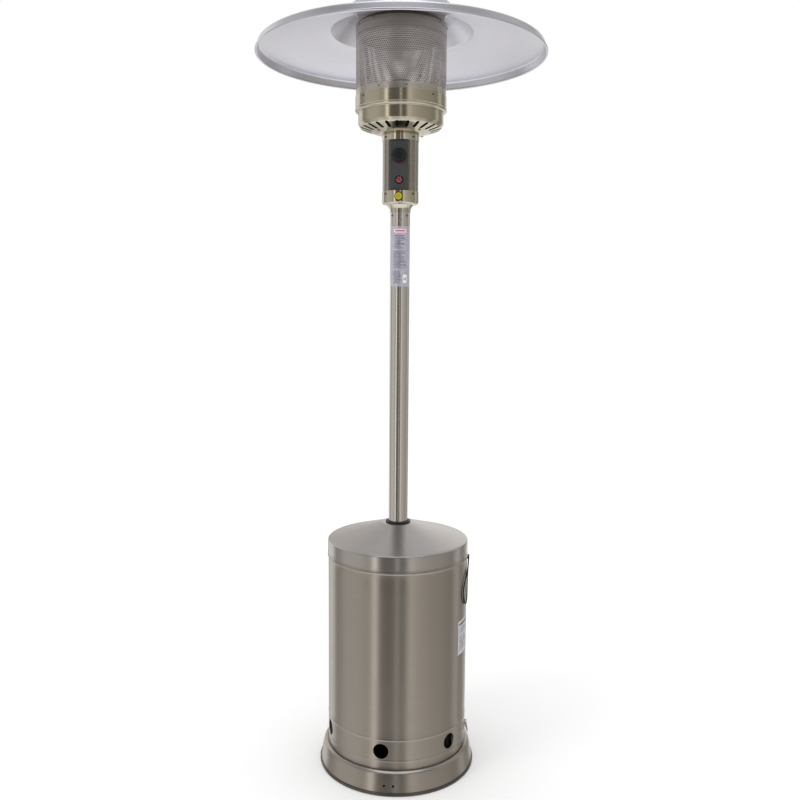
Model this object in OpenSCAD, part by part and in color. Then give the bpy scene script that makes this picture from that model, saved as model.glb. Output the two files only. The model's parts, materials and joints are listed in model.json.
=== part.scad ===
// Free-standing gas patio heater.
// Origin: centre of the base on the ground. +Z up. The control panel faces -Y.
// Angles round the heater are counted from the panel, positive towards +X.

/* [Base] */
// How far the base stands out past the tank housing
base_flare = 25.6; // [15:0.1:45]
// Height of the base, up to the ledge that carries the housing
base_h = 65; // [50:1:90]
// Thickness of the base's steel sheet
base_sheet = 1.5; // [1:0.1:2.5]
// Thickness of the bottom plate
plate_t = 3; // [2:0.5:5]
// Height of the rolled edge of the bottom plate
rim_h = 9; // [7:0.5:12]
// Height of the upstand that centres the housing
upstand_h = 12; // [8:1:20]
// Diameter of the two holes for the wheel kit
wheel_hole_d = 6.6; // [5:0.1:9]
// Spacing of the two holes for the wheel kit
wheel_hole_gap = 26; // [20:1:40]
// Height of the wheel kit holes above the ground
wheel_hole_z = 28; // [24:1:32]

/* [Tank housing] */
// Outside diameter of the housing
housing_d = 413.4; // [340:0.2:500]
// Length of the housing's shell
shell_h = 617; // [500:1:745]
// Thickness of the housing's sheet
sheet_t = 1.2; // [0.8:0.1:1.6]
// Diameter of the air vents
vent_d = 44.5; // [30:0.5:54]
// Height of the vents' centres above the shell's lower edge
vent_up = 53.7; // [45:0.1:65]
// Number of air vents
vent_count = 6; // [3:1:8]
// Angle of the first vent
vent_az = -7; // [-20:1:20]
// Height of the lid's cylindrical band
band_h = 38; // [25:1:50]
// Rise of the lid's cone
cone_rise = 49; // [40:1:70]
// Gap under the housing where it rests on the base
seat_gap = 0.3; // [0.2:0.05:0.6]

/* [Struts] */
// Width of each strut
strut_w = 30; // [20:1:40]
// Thickness of each strut
strut_t = 4; // [3:0.5:6]
// Gap between the struts and the housing
strut_gap = 17.5; // [12:0.5:24]
// Depth of the strut heads below the top of the shell
strut_drop = 52; // [46:1:70]
// Thickness of the post's flange
flange_t = 6; // [4:0.5:9]
// Radius of the post's flange
flange_r = 72; // [62:1:85]

/* [Post] */
// Outside diameter of the post
post_d = 56.6; // [47:0.1:68]
// Length of the post
post_len = 1001; // [830:1:1205]
// Wall of the post
post_t = 1.5; // [1:0.1:2.5]
// Radial gap between the post and the sliding bush
bush_gap = 0.9; // [0.6:0.05:1.5]
// Height of the label on the post
post_label_h = 169; // [100:1:180]
// Distance from the post's top down to the label
post_label_drop = 41; // [30:1:60]

/* [Control housing] */
// Radius of the two polished collars
collar_r = 52.3; // [43.5:0.1:63]
// Height of the lower collar
low_collar_h = 35.5; // [32:0.5:42]
// Height of the upper collar
top_collar_h = 20; // [16:1:26]
// Visible height of the brushed box between the collars
box_h = 139; // [116:1:167]
// How far the flat front is cut in from the collars
flat_cut = 11.3; // [9:0.1:13]
// Width of the control panel
panel_w = 50; // [44:1:56]
// Height of the knob's centre above the lower collar
knob_up = 95; // [80:1:104]
// Diameter of the knob
knob_d = 41; // [34:1:46]
// Height of the igniter's centre above the lower collar
igniter_up = 29.5; // [20:0.5:34]
// Diameter of the yellow plug
plug_d = 20; // [14:1:22]

/* [Burner head] */
// How far the lower bowl stands inside the screen's radius
bowl_inset = 6.5; // [3:0.5:12]
// Height of the bowl's cylindrical side
bowl_side_h = 36; // [30:1:43]
// Number of air slots in the bowl
slot_count = 24; // [16:1:28]
// Width of each air slot
slot_w = 9.5; // [6:0.1:12]
// Radius of the perforated screen
screen_r = 127; // [105.5:0.1:153]
// Height of the perforated screen
screen_h = 198; // [165:1:222]
// Height of the flared baffle above the screen
baffle_h = 37; // [28:1:46]

/* [Reflector] */
// Diameter of the reflector
reflector_d = 813; // [680:1:975]
// Height of the reflector's outer skirt
skirt_h = 23; // [16:1:30]
// Slope of the reflector's dome in degrees
dome_slope = 12; // [9:0.5:14]
// Thickness of the reflector's sheet
reflector_t = 1; // [0.8:0.1:1.6]
// Radius of the bolt circle that holds the reflector
stud_pcd_r = 70; // [60:1:90]
// Number of studs
stud_count = 4; // [3:1:6]

/* [Hidden] */

$fn = 96;
eps = 0.01;
fit = 0.1;                                   // gap between pieces that slide together

strut_az = [60, 180, 300];                   // angles of the three struts
screw_az = [48, 132, -132, -48];             // angles of the screws in the post, collars and head

// ---- radii and heights that follow from the sizes above
housing_r = housing_d / 2;
shell_in = housing_r - sheet_t;
base_r = housing_r + base_flare;
shell_z = base_h + seat_gap;
shell_top = shell_z + shell_h;
strut_r = shell_in - strut_gap;              // outer face of the struts
strut_top = shell_top - strut_drop;
flange_z = strut_top;
post_z = flange_z + flange_t;
post_r = post_d / 2;
post_in = post_r - post_t;
post_top = post_z + post_len;
socket_r = post_r + 4.7;
socket_h = 30;

// lid
lid_fit = 0.15;
band_r = housing_r + lid_fit + sheet_t;
band_top = shell_top + sheet_t + 1.2;
lid_lip_z = band_top + cone_rise;            // top face of the flat lip round the bush
bush_in = post_r + bush_gap;
bush_r = bush_in + 5.4;
bush_cap_r = bush_r + 2;
bush_foot_r = bush_r + 8;
bush_cap_h = 4.2;
bush_play = 0.3;

// control housing
neck_h = 21.5;
neck_r = post_r + 1.3;
collar_t = 1.2;
collar_z = post_top + neck_h;                // underside of the lower collar
box_z = collar_z + low_collar_h;
box_top = box_z + box_h;
head_z = box_top + top_collar_h;             // underside of the burner bowl
box_r = collar_r - collar_t - fit;
box_t = 1.2;
box_lap = 12;                                // how far the box runs into each collar
flat_d = collar_r - flat_cut;                // distance of the flat front from the axis
panel_t = 1.6;
panel_face = flat_d + panel_t;
knob_z = box_z + knob_up;
igniter_z = box_z + igniter_up;
plug_z = collar_z + 19;
knob_travel = 3;
low_screw_z = box_z - 8.5;
top_screw_z = box_top + 8;

// burner head
bowl_r = screen_r - bowl_inset;
bowl_rise = 22;
bowl_t = 1.2;
side_z = head_z + bowl_rise;
side_top = side_z + bowl_side_h;
head_band_h = 42;
head_top = side_top + head_band_h;
head_r = screen_r + 1.6;
bowl_screw_r = collar_r + 24;                // circle of the screws under the bowl
slot_in = bowl_screw_r + 10.5;
slot_out = bowl_r - 11.4;
screen_t = 0.8;
screen_lap = 14;
plate_z = side_top + 26;                     // burner plate
cap_side_h = 16;
cap_lap = 6;                                 // how far the screen runs up inside the cap
screen_top = head_top + screen_h;
burner_plate_r = screen_r - screen_t - 0.4;
burner_plate_t = 1.5;
dome_r = 55;
dome_foot_r = dome_r + 6;
pilot_x = 74;
pilot_gap = 15;                              // electrode and thermocouple to each side of the pilot
pilot_z = plate_z + 3;

// baffle and reflector
baffle_foot_r = screen_r - 14;
baffle_rim_r = screen_r + 5;
baffle_z = screen_top + 1.2;
baffle_rim_z = baffle_z + baffle_h;
crown_gap = 8;
crown_up = 69.5;                             // height of the crown above the crease
crown_z = baffle_rim_z + crown_gap;          // underside of the reflector's crown
crown_r = baffle_rim_r + 8;
crease_r = baffle_rim_r + 67;
reflector_r = reflector_d / 2;
fold_r = reflector_r - 10;
dome_rise = (fold_r - crease_r) * tan(dome_slope);
crease_z = crown_z - crown_up;
fold_z = crease_z - dome_rise;
rim_z = fold_z - skirt_h;
bead_r = 3;
stud_r = 3;

// latch on the housing's side, and the cord loop
latch_az = 90;
latch_z = shell_z + 52;                      // height of the latch's pin
latch_pin_out = 4.2;                         // pin's distance from the shell
latch_pin_r = 1.2;
latch_hub_r = 2.5;                           // the lever's round end, which clears the plate as it turns
latch_w = 16;
anchor_az = 92;
anchor_arc = 6;
anchor_out = 7;                              // how far the anchor stands out from the shell
rib_z = band_top - band_h - 6;
anchor_h = 9;
anchor_z = rib_z - 4.7 - anchor_h;
cord_r = 1.9;

// Route of the cord loop: [angle, distance from the axis, height]
cord_route = [
    [90.8, 211, 627], [90.8, 211, 621], [89.8, 210.8, 614], [87.6, 210.4, 607], [84.6, 210, 600],
    [81.0, 209.8, 592], [77.6, 209.6, 583], [74.8, 209.6, 573], [72.8, 209.6, 562], [71.6, 209.6, 550],
    [71.4, 209.6, 538], [72.2, 209.6, 526], [73.8, 209.6, 515], [76.2, 209.6, 507], [79.0, 209.6, 504],
    [81.6, 209.6, 508], [83.4, 209.6, 517], [84.3, 209.6, 528], [84.5, 209.6, 540], [84.4, 209.6, 552],
    [84.4, 209.6, 564], [85.0, 209.6, 576], [86.4, 209.8, 588], [88.4, 210, 599], [91.0, 210.4, 608],
    [92.8, 210.8, 615], [93.4, 211, 621], [93.4, 211, 627]];

// Points of the igniter's lead inside the head
igniter_end = 3;                             // the igniter's rear end stands this far before the axis
lead_r = box_r - box_t - 9;
lead_route = [[0, -igniter_end, igniter_z], [0, 6, igniter_z], [6, 18, igniter_z + 6],
    polar([143, lead_r - 7, igniter_z + 26]), polar([137, lead_r, knob_z - 6]),
    polar([134, lead_r, knob_z + 32]), polar([126, lead_r, head_z + 8]), [54, 19, side_z + 16],
    [pilot_x - 2, pilot_gap, plate_z - 14], [pilot_x, pilot_gap, pilot_z - 5],
    [pilot_x, pilot_gap, pilot_z + 2]];

// ---- outlines
function unit(v) = v / norm(v);

// n + 1 points round the corner b of the path a-b-c, with radius r
function corner(a, b, c, r, n = 6) =
    let (u = unit(a - b), v = unit(c - b), half = acos(u * v) / 2,
        mid = b + unit(u + v) * r / sin(half),
        s = b + u * r / tan(half), e = b + v * r / tan(half),
        a0 = atan2(s.y - mid.y, s.x - mid.x), d = atan2(e.y - mid.y, e.x - mid.x) - a0,
        turn = d > 180 ? d - 360 : d < -180 ? d + 360 : d)
    [for (i = [0:n]) mid + r * [cos(a0 + turn * i / n), sin(a0 + turn * i / n)]];

// The path p with its inner corners rounded; radii[i] belongs to p[i + 1]
function rounded(p, radii, n = 6) = concat([p[0]],
    [for (i = [1:len(p) - 2]) each
        radii[i - 1] > 0 ? corner(p[i - 1], p[i], p[i + 1], radii[i - 1], n) : [p[i]]],
    [p[len(p) - 1]]);

// Left-hand normal of the path at point i, long enough to keep the wall even
function side(p, i) =
    let (a = i > 0 ? unit(p[i] - p[i - 1]) : unit(p[1] - p[0]),
        b = i < len(p) - 1 ? unit(p[i + 1] - p[i]) : a,
        m = unit(a + b))
    [-m.y, m.x] / (m * a);

// Closed outline of a wall of thickness t to the left of the path p
function wall(p, t) = concat(p, [for (i = [len(p) - 1:-1:0]) p[i] + t * side(p, i)]);
// The same for a wall that is turned round the axis and may reach it
function turned_wall(p, t) = [for (q = wall(p, t)) [max(q.x, 0), q.y]];

// A half-round bead of height h and width w on a vertical wall at radius r
function bead(r, z, w, h) = [[r, z - w / 2], [r + 0.7 * h, z - w / 4], [r + h, z],
    [r + 0.7 * h, z + w / 4], [r, z + w / 2]];

module turned(p, t) { rotate_extrude() polygon(turned_wall(p, t)); }
module ring(r_out, r_in, h) { difference() { cylinder(r = r_out, h = h);
    translate([0, 0, -1]) cylinder(r = r_in, h = h + 2); } }
module around(n) { for (i = [0:n - 1]) rotate([0, 0, 360 * i / n]) children(); }
// Lays a shape that stands on +Z so that it points outwards, at angle az, radius r and height z
module outward(az, r, z) { rotate([0, 0, az]) translate([0, -r, z]) rotate([90, 0, 0]) children(); }
// A tube along the points p, with a slightly swollen ball at each bend
module bent_tube(p, r) {
    for (i = [1:len(p) - 1]) tube_between(p[i - 1], p[i], r);
    for (i = [1:len(p) - 2]) translate(p[i]) sphere(r = 1.25 * r, $fn = 24);
}
module tube_between(a, b, r) {
    d = b - a;
    translate(a) rotate([0, acos(d.z / norm(d)), atan2(d.y, d.x)]) cylinder(r = r, h = norm(d), $fn = 24);
}

// ---- swept tubes
function polar(q) = [q[1] * sin(q[0]), -q[1] * cos(q[0]), q[2]];
function mix(a, b, c, d, t) = 0.5 * (2 * b + (c - a) * t + (2 * a - 5 * b + 4 * c - d) * t * t
    + (3 * b - a - 3 * c + d) * t * t * t);
function smooth(p, n) = let (m = len(p) - 1) concat(
    [for (i = [0:m - 1], k = [0:n - 1])
        mix(p[max(i - 1, 0)], p[i], p[i + 1], p[min(i + 2, m)], k / n)], [p[m]]);
module swept(p, r, sides) {
    m = len(p) - 1;
    rings = [for (i = [0:m])
        let (t = unit(p[min(i + 1, m)] - p[max(i - 1, 0)]), out = unit([p[i].x, p[i].y, 0]),
            a = unit(cross(t, out)), b = cross(a, t))
        for (k = [0:sides - 1]) p[i] + r * (cos(360 * k / sides) * a + sin(360 * k / sides) * b)];
    faces = concat([[for (k = [0:sides - 1]) k]],
        [for (i = [0:m - 1], k = [0:sides - 1]) let (n = (k + 1) % sides)
            [i * sides + k, (i + 1) * sides + k, (i + 1) * sides + n, i * sides + n]],
        [[for (k = [sides - 1:-1:0]) m * sides + k]]);
    polyhedron(points = rings, faces = faces, convexity = 6);
}

// ---- fasteners
module pan_screw(head_r, head_h, shank_r, shank_l) {
    difference() {
        rotate_extrude($fn = 32) polygon([[0, 0], [head_r, 0], [head_r, head_h * 0.45],
            [head_r * 0.72, head_h * 0.9], [0, head_h]]);
        for (a = [0, 90]) rotate([0, 0, a]) translate([-head_r * 0.55, -head_r * 0.12, head_h * 0.55])
            cube([head_r * 1.1, head_r * 0.24, head_h]);
    }
    translate([0, 0, -shank_l]) cylinder(r = shank_r, h = shank_l + eps, $fn = 24);
}
// A hex bolt through a stack from z = 0 down to -grip, with its nut
module hex_bolt(r, grip) {
    translate([0, 0, -grip - 0.8 * 2 * r - 2]) cylinder(r = r, h = grip + 1.6 * r + 2 + eps, $fn = 24);
    cylinder(r = 1.9 * r, h = 1.3 * r, $fn = 6);
    translate([0, 0, -grip - 1.6 * r]) cylinder(r = 1.9 * r, h = 1.6 * r, $fn = 6);
}

// ---- base
module base_plate() color("silver") difference() {
    rotate_extrude() polygon(concat([[0, 0], [base_r - 2, 0]],
        corner([base_r - 6, 0], [base_r, 0], [base_r, rim_h / 2], 2),
        corner([base_r, rim_h / 2], [base_r, rim_h], [base_r - 6, rim_h], 2),
        [[base_r - 5, rim_h], [base_r - 5, plate_t], [0, plate_t]]));
    translate([0, 0, -1]) cylinder(r = 10, h = plate_t + 2);
}

pan_foot = base_r - 3.3;
pan_path = rounded([[pan_foot, rim_h + 0.3], [pan_foot - 5.8, base_h - 20], [pan_foot - 9.5, base_h - 5],
    [housing_r + 5, base_h - 0.001], [housing_r - 12, base_h]], [60, 10, 8]);
module base_pan() color("darkkhaki") difference() {
    union() {
        turned(pan_path, base_sheet);
        translate([0, 0, base_h - base_sheet]) cylinder(r = housing_r - 11.9, h = base_sheet);
        translate([0, 0, base_h - eps]) ring(shell_in - 1, shell_in - 1 - base_sheet, upstand_h);
    }
    for (s = [-1, 1]) translate([s * wheel_hole_gap / 2, -base_r + 20, wheel_hole_z])
        rotate([90, 0, 0]) cylinder(d = wheel_hole_d, h = 40, $fn = 32);
    for (a = strut_az) foot_holes(a);
}

// ---- struts
foot_r = strut_r - 13;                       // circle of the bolts in the feet
foot_bolt_r = 3;
foot_bolt_x = 9;                             // their distance from the strut's middle
head_bolt_r = 4;
bolt_fit = 0.2;                              // clearance of the bolts in their holes
arm_end = socket_r - 2;
bolt_circle = flange_r - 14;
module foot_holes(a) rotate([0, 0, a]) for (s = [-1, 1])
    translate([s * foot_bolt_x, -foot_r, base_h - 5]) cylinder(r = foot_bolt_r + bolt_fit, h = 20, $fn = 24);
module head_hole(a) rotate([0, 0, a]) translate([0, -bolt_circle, strut_top - 20])
    cylinder(r = head_bolt_r + bolt_fit, h = 40, $fn = 24);
strut_path = rounded([[strut_r - 22, base_h], [strut_r, base_h], [strut_r, strut_top],
    [arm_end, strut_top]], [8, 26]);
module strut(a) difference() {
    rotate([0, 0, a]) translate([-strut_w / 2, 0, 0]) rotate([90, 0, 90]) linear_extrude(strut_w)
        polygon([for (q = wall(strut_path, strut_t)) [-q.x, q.y]]);
    foot_holes(a);
    head_hole(a);
}
module strut_right() color("dimgray") strut(strut_az[0]);
module strut_rear() color("dimgray") strut(strut_az[1]);
module strut_left() color("dimgray") strut(strut_az[2]);
module strut_bolts() color("gray") for (a = strut_az, s = [-1, 1]) rotate([0, 0, a])
    translate([s * foot_bolt_x, -foot_r, base_h + strut_t]) hex_bolt(foot_bolt_r, strut_t + base_sheet);

module post_flange() color("dimgray") difference() {
    union() {
        translate([0, 0, flange_z]) cylinder(r = flange_r, h = flange_t);
        translate([0, 0, post_z - eps]) ring(socket_r, post_r + 0.05, socket_h);
    }
    translate([pipe_x, pipe_y, flange_z - 1]) cylinder(r = pipe_r + 0.5, h = flange_t + 2, $fn = 32);
    for (a = strut_az) head_hole(a);
}
module flange_bolts() color("gray") for (a = strut_az) rotate([0, 0, a])
    translate([0, -bolt_circle, post_z]) hex_bolt(head_bolt_r, flange_t + strut_t);

// ---- post and gas line
pipe_r = 5;
pipe_x = -9;
pipe_y = 5;
valve_w = 34;
valve_back = pipe_y + pipe_r + 1;            // rear face of the valve's body
valve_low = knob_z - 18;
valve_top = knob_z + 16;
module post() color("silver") difference() {
    translate([0, 0, post_z]) ring(post_r, post_in, post_len);
    for (a = screw_az) outward(a, post_in - 3, post_top - 10) cylinder(r = 2.1, h = 8, $fn = 24);
}
module gas_pipe() color("gray") translate([pipe_x, pipe_y, flange_z - 8])
    ring(pipe_r, pipe_r - 1.2, valve_low - flange_z + 8, $fn = 32);
module gas_inlet() color("goldenrod") translate([pipe_x, pipe_y, flange_z - 8]) difference() {
    union() {
        translate([0, 0, -6]) cylinder(r = 11, h = 6, $fn = 6);
        translate([0, 0, -20]) cylinder(r = 6.6, h = 14 + eps, $fn = 48);
    }
    translate([0, 0, -21]) cylinder(r = 3.4, h = 22, $fn = 32);
}
module post_screws() color("dimgray") for (a = screw_az)
    outward(a, post_r, post_top - 10) pan_screw(3.2, 2.2, 2, 5);
label_t = 0.3;
label_gap = 0.02;                            // the labels' film of glue
post_label_az = 5.5;                         // angle of the label's middle
post_label_arc = 144;
module post_label() color("lavender")
    translate([0, 0, post_top - post_label_drop - post_label_h])
        rotate([0, 0, post_label_az - post_label_arc / 2 - 90]) rotate_extrude(angle = post_label_arc)
            translate([post_r + label_gap, 0]) square([label_t, post_label_h]);

// ---- control housing
neck_path = rounded([[neck_r, post_top], [neck_r, post_top + 9], [neck_r + 9, collar_z - 1],
    [neck_r + 12, collar_z]], [14, 3]);
module neck() color("tan") difference() {
    union() {
        rotate_extrude() polygon(concat([[post_in - 0.05, post_top]], neck_path,
            [[post_in - 0.05, collar_z]]));
        translate([0, 0, post_top - 36]) cylinder(r = post_in - 0.05, h = 36 + neck_h);
    }
    translate([0, 0, post_top - 37]) cylinder(r = post_in - 2, h = 40 + neck_h);
    for (a = screw_az) outward(a, post_in - 6, post_top - 10) cylinder(r = 2.05, h = 8, $fn = 24);
}
module collar_holes(z) for (a = screw_az) outward(a, collar_r - 8, z) cylinder(r = 1.85, h = 12, $fn = 24);
module lower_collar() color("tan") difference() {
    rotate_extrude() polygon(wall(rounded([[post_in - 2, collar_z + eps], [collar_r, collar_z],
        [collar_r, box_z]], [7]), collar_t));
    collar_holes(low_screw_z);
    outward(0, collar_r - 8, plug_z) cylinder(r = plug_d / 2 - 4, h = 12, $fn = 32);
}
module upper_collar() color("tan") difference() {
    translate([0, 0, box_top]) ring(collar_r, collar_r - collar_t, top_collar_h);
    collar_holes(top_screw_z);
}
module box_outline(r, d) intersection() { circle(r = r);
    translate([-r - 1, -d]) square([2 * r + 2, d + r + 1]); }
module control_box() color("gray") difference() {
    translate([0, 0, box_z - box_lap]) linear_extrude(box_h + 2 * box_lap) difference() {
        box_outline(box_r, flat_d);
        box_outline(box_r - box_t, flat_d - box_t);
    }
    collar_holes(low_screw_z);
    collar_holes(top_screw_z);
    outward(0, flat_d - 4, knob_z) cylinder(r = 7, h = 8, $fn = 32);
    outward(0, flat_d - 4, igniter_z) cylinder(r = 9.1, h = 8, $fn = 32);
    outward(0, flat_d - 4, plug_z) cylinder(r = plug_d / 2 - 3.8, h = 8, $fn = 32);
}
module control_panel() color("black") difference() {
    translate([-panel_w / 2, -panel_face, box_z + 0.2]) cube([panel_w, panel_t, box_h - 0.4]);
    outward(0, flat_d - 1, knob_z) cylinder(r = 7, h = 8, $fn = 32);
    outward(0, flat_d - 1, igniter_z) cylinder(r = 9.1, h = 8, $fn = 32);
}
module collar_screws() color("dimgray") for (a = screw_az, z = [low_screw_z, top_screw_z])
    outward(a, collar_r, z) pan_screw(3.6, 2.4, 1.8, 5);
module yellow_plug() color("yellow") outward(0, collar_r, plug_z) difference() {
    union() {
        rotate_extrude($fn = 64) polygon([[0, 0], [plug_d / 2, 0], [plug_d / 2, 2.6],
            [plug_d / 2 - 1.6, 4.8], [plug_d / 2 - 3.4, 4.8], [plug_d / 2 - 4.4, 3.2], [0, 3.2]]);
        translate([0, 0, -collar_t - 4]) cylinder(r = plug_d / 2 - 4, h = collar_t + 4 + eps, $fn = 32);
    }
    for (a = [0, 90]) rotate([0, 0, a]) translate([-4, -0.9, 1.8]) cube([8, 1.8, 3]);
}
module tilt_switch() color("saddlebrown") translate([box_t - box_r + 15.5, 11, collar_z + 6]) union() {
    cube([20, 14, 26]);
    translate([10, 7, 26 - eps]) cylinder(r = 2.5, h = 5, $fn = 24);
}

// ---- valve, knob and igniter
valve_y = -(flat_d - box_t - 1.2);           // front face of the valve's body
stem_r = 3;
bush_l = 10;
module gas_valve() color("darkgoldenrod") difference() {
    union() {
        translate([-valve_w / 2, valve_y, valve_low])
            cube([valve_w, valve_back - valve_y, valve_top - valve_low]);
        translate([0, 0, valve_top - eps]) cylinder(r = 7, h = 10, $fn = 6);
    }
    outward(0, -valve_y - bush_l - knob_travel - 2.5, knob_z)
        cylinder(r = 5.55, h = bush_l + knob_travel + 6, $fn = 48);
    outward(0, -valve_y - 26, knob_z) cylinder(r = stem_r + 0.4, h = 20, $fn = 32);
    translate([pipe_x, pipe_y, valve_low - 1]) cylinder(r = pipe_r - 1.2, h = 8, $fn = 32);
}
// Slides in the valve with the stem, which turns inside it
module valve_bush() color("goldenrod") outward(0, -valve_y - bush_l, knob_z)
    ring(5.5, stem_r + 0.05, bush_l, $fn = 48);
knob_back = panel_face + knob_travel + 1.2;
knob_l = 16;
module valve_stem() color("silver") union() {
    outward(0, -valve_y - 22 + knob_travel + 2, knob_z)
        cylinder(r = stem_r, h = knob_back + valve_y + 20 + 8 - knob_travel, $fn = 48);
    outward(0, -valve_y + 0.3, knob_z) cylinder(r = 4.6, h = 1.2, $fn = 32);
    outward(0, -valve_y - bush_l - 1.4, knob_z) cylinder(r = 4.2, h = 1.1, $fn = 32);
}
module knob() color("black") outward(0, knob_back, knob_z) difference() {
    union() {
        rotate_extrude($fn = 64) polygon(concat([[0, 0], [knob_d / 2 - 0.8, 0], [knob_d / 2, 0.8],
            [knob_d / 2, 3.4], [knob_d / 2 - 1, 4.4]],
            corner([knob_d / 2 - 3.2, 4.4], [knob_d / 2 - 4, knob_l], [0, knob_l], 3), [[0, knob_l]]));
        translate([-1.6, 0, knob_l - 3]) cube([3.2, knob_d / 2 - 4.6, 4]);
    }
    around(18) translate([knob_d / 2 - 2.4, 0, 4.6]) cylinder(r = 1.5, h = knob_l, $fn = 16);
    translate([0, 0, -1]) cylinder(r = stem_r, h = 9, $fn = 48);
}
button_r = 6.2;
bezel_r = 11.5;
module igniter_body() color("whitesmoke") difference() {
    union() {
        outward(0, igniter_end, igniter_z) cylinder(r = 8.9, h = panel_face + 2 - igniter_end, $fn = 48);
        outward(0, flat_d - box_t - 3.2, igniter_z) cylinder(r = 11.5, h = 3.1, $fn = 48);
    }
    outward(0, flat_d - 16, igniter_z) cylinder(r = button_r + 0.1, h = 30, $fn = 48);
}
module igniter_bezel() color("black") outward(0, panel_face + 0.05, igniter_z) difference() {
    rotate_extrude($fn = 64) polygon([[9, 0], [bezel_r, 0], [bezel_r, 2.4], [bezel_r - 1.6, 4.6],
        [7.6, 4.6], [7.6, 2.6], [9, 2.6]]);
    around(12) translate([bezel_r + 0.5, 0, -1]) cylinder(r = 1.1, h = 4, $fn = 16);
}
module igniter_button() color("crimson") outward(0, flat_d - 8, igniter_z)
    rotate_extrude($fn = 48) polygon(concat([[0, 0], [button_r, 0]],
        corner([button_r, 4], [button_r, 19.5], [2, 19.5], 2.6), [[0, 20]]));
module igniter_lead() color("firebrick") swept(smooth(lead_route, 3), 1.3, 8);

// ---- pilot, burner and mixer
module electrode() color("white") union() {
    translate([pilot_x, pilot_gap, pilot_z + 2]) cylinder(r = 2.6, h = 24, $fn = 32);
    translate([pilot_x, pilot_gap, pilot_z + 26 - eps]) cylinder(r = 0.9, h = 9, $fn = 24);
}
module thermocouple() color("peru") union() {
    bent_tube([[14, -9, valve_top], [14, -9, head_z + 6], [pilot_x, -pilot_gap, pilot_z - 5]], 1.2);
    translate([pilot_x, -pilot_gap, pilot_z - 6]) cylinder(r = 2, h = 32, $fn = 32);
    translate([pilot_x, -pilot_gap, pilot_z + 2]) cylinder(r = 3, h = 14, $fn = 32);
}
module pilot_tube() color("silver") bent_tube([[14, 8, valve_top], [14, 8, head_z + 6],
    [pilot_x, 0, pilot_z - 14], [pilot_x, 0, pilot_z]], 1.5);
module pilot_burner() color("silver") difference() {
    union() {
        translate([pilot_x - 4, -pilot_gap - 4, pilot_z]) cube([8, 2 * pilot_gap + 8, 2]);
        translate([pilot_x, 0, pilot_z]) cylinder(r = 5, h = 24, $fn = 32);
    }
    translate([pilot_x, 0, pilot_z + 4]) cylinder(r = 3.6, h = 30, $fn = 32);
    for (s = [-1, 1]) translate([pilot_x, 0, pilot_z + 14]) rotate([90 * s, 0, 0])
        cylinder(r = 1.8, h = 9, $fn = 24);
    translate([pilot_x, pilot_gap, pilot_z - 1]) cylinder(r = 1.5, h = 4, $fn = 24);
    translate([pilot_x, -pilot_gap, pilot_z - 1]) cylinder(r = 2.1, h = 4, $fn = 24);
}
module mixer_tube() color("gray") difference() {
    rotate_extrude() polygon(wall([[9.5, valve_top + 10], [9.5, valve_top + 28], [13, plate_z - 40],
        [13, plate_z - 0.1]], 1.2));
    for (a = [45:90:315]) outward(a, 4, valve_top + 19) cylinder(r = 3, h = 12, $fn = 24);
}
bowl_slope = (bowl_rise - 6) / (bowl_r - collar_r - 18);
module on_bowl(a) rotate([0, 0, a]) translate([0, -bowl_screw_r, head_z + 1 + 12 * bowl_slope])
    rotate([180 - atan(bowl_slope), 0, 0]) children();
bowl_path = rounded([[collar_r - 6, head_z], [collar_r + 12, head_z + 1], [bowl_r - 6, side_z - 5],
    [bowl_r, side_z + 6], [bowl_r, side_top]], [16, 8, 4]);
module burner_bowl() color("tan") difference() {
    turned(bowl_path, bowl_t);
    around(slot_count) translate([0, 0, head_z - 5]) linear_extrude(bowl_rise + 15) union() {
        translate([-slot_w / 2, -slot_out]) square([slot_w, slot_out - slot_in]);
        translate([0, -slot_out]) circle(d = slot_w, $fn = 24);
        translate([0, -slot_in]) circle(d = slot_w, $fn = 24);
    }
    for (a = screw_az) on_bowl(a) translate([0, 0, -6]) cylinder(r = 1.85, h = 12, $fn = 24);
}
module bowl_screws() color("dimgray") for (a = screw_az) on_bowl(a) pan_screw(3.6, 2.4, 1.8, 8);
module head_band() color("tan") difference() {
    rotate_extrude() polygon(wall([[bowl_r + 1.3, side_top - 2], [bowl_r + 1.8, side_top + 0.5],
        [head_r - 1, side_top + 3], [head_r + 0.9, side_top + 5.5], [head_r + 0.9, side_top + 8.5],
        [head_r - 0.6, side_top + 11], [head_r, side_top + 13.5], [head_r, head_top]], 1.2));
    for (a = screw_az) outward(a, head_r - 6, head_top - 9) cylinder(r = 1.85, h = 12, $fn = 24);
}
module head_screws() color("dimgray") for (a = screw_az)
    outward(a, head_r, head_top - 9) pan_screw(3.4, 2.2, 1.8, 5);
module burner_plate() color("gray") difference() {
    translate([0, 0, plate_z]) cylinder(r = burner_plate_r, h = burner_plate_t);
    translate([pilot_x - 13, -22, plate_z - 1]) cube([26, 44, 4]);
    translate([0, 0, plate_z - 1]) cylinder(r = 12.4, h = 4);
    around(20) translate([0, -(dome_foot_r + burner_plate_r) / 2, plate_z - 1])
        cylinder(r = 5, h = 4, $fn = 24);
}
dome_z = plate_z + burner_plate_t + 1;
dome_path = rounded([[dome_foot_r, dome_z], [dome_r, dome_z], [dome_r, plate_z + 46],
    [dome_r - 24, plate_z + 62], [0, plate_z + 64]], [1.5, 12, 20]);
module burner_dome() color("gray") difference() {
    turned(dome_path, 1);
    around(24) for (z = [12:12:36]) outward(0, dome_r - 4, plate_z + z) cylinder(r = 2.2, h = 8, $fn = 16);
}

// ---- emitter, baffle and reflector
cap_screw_z = screen_top - cap_side_h + 4;
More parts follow.
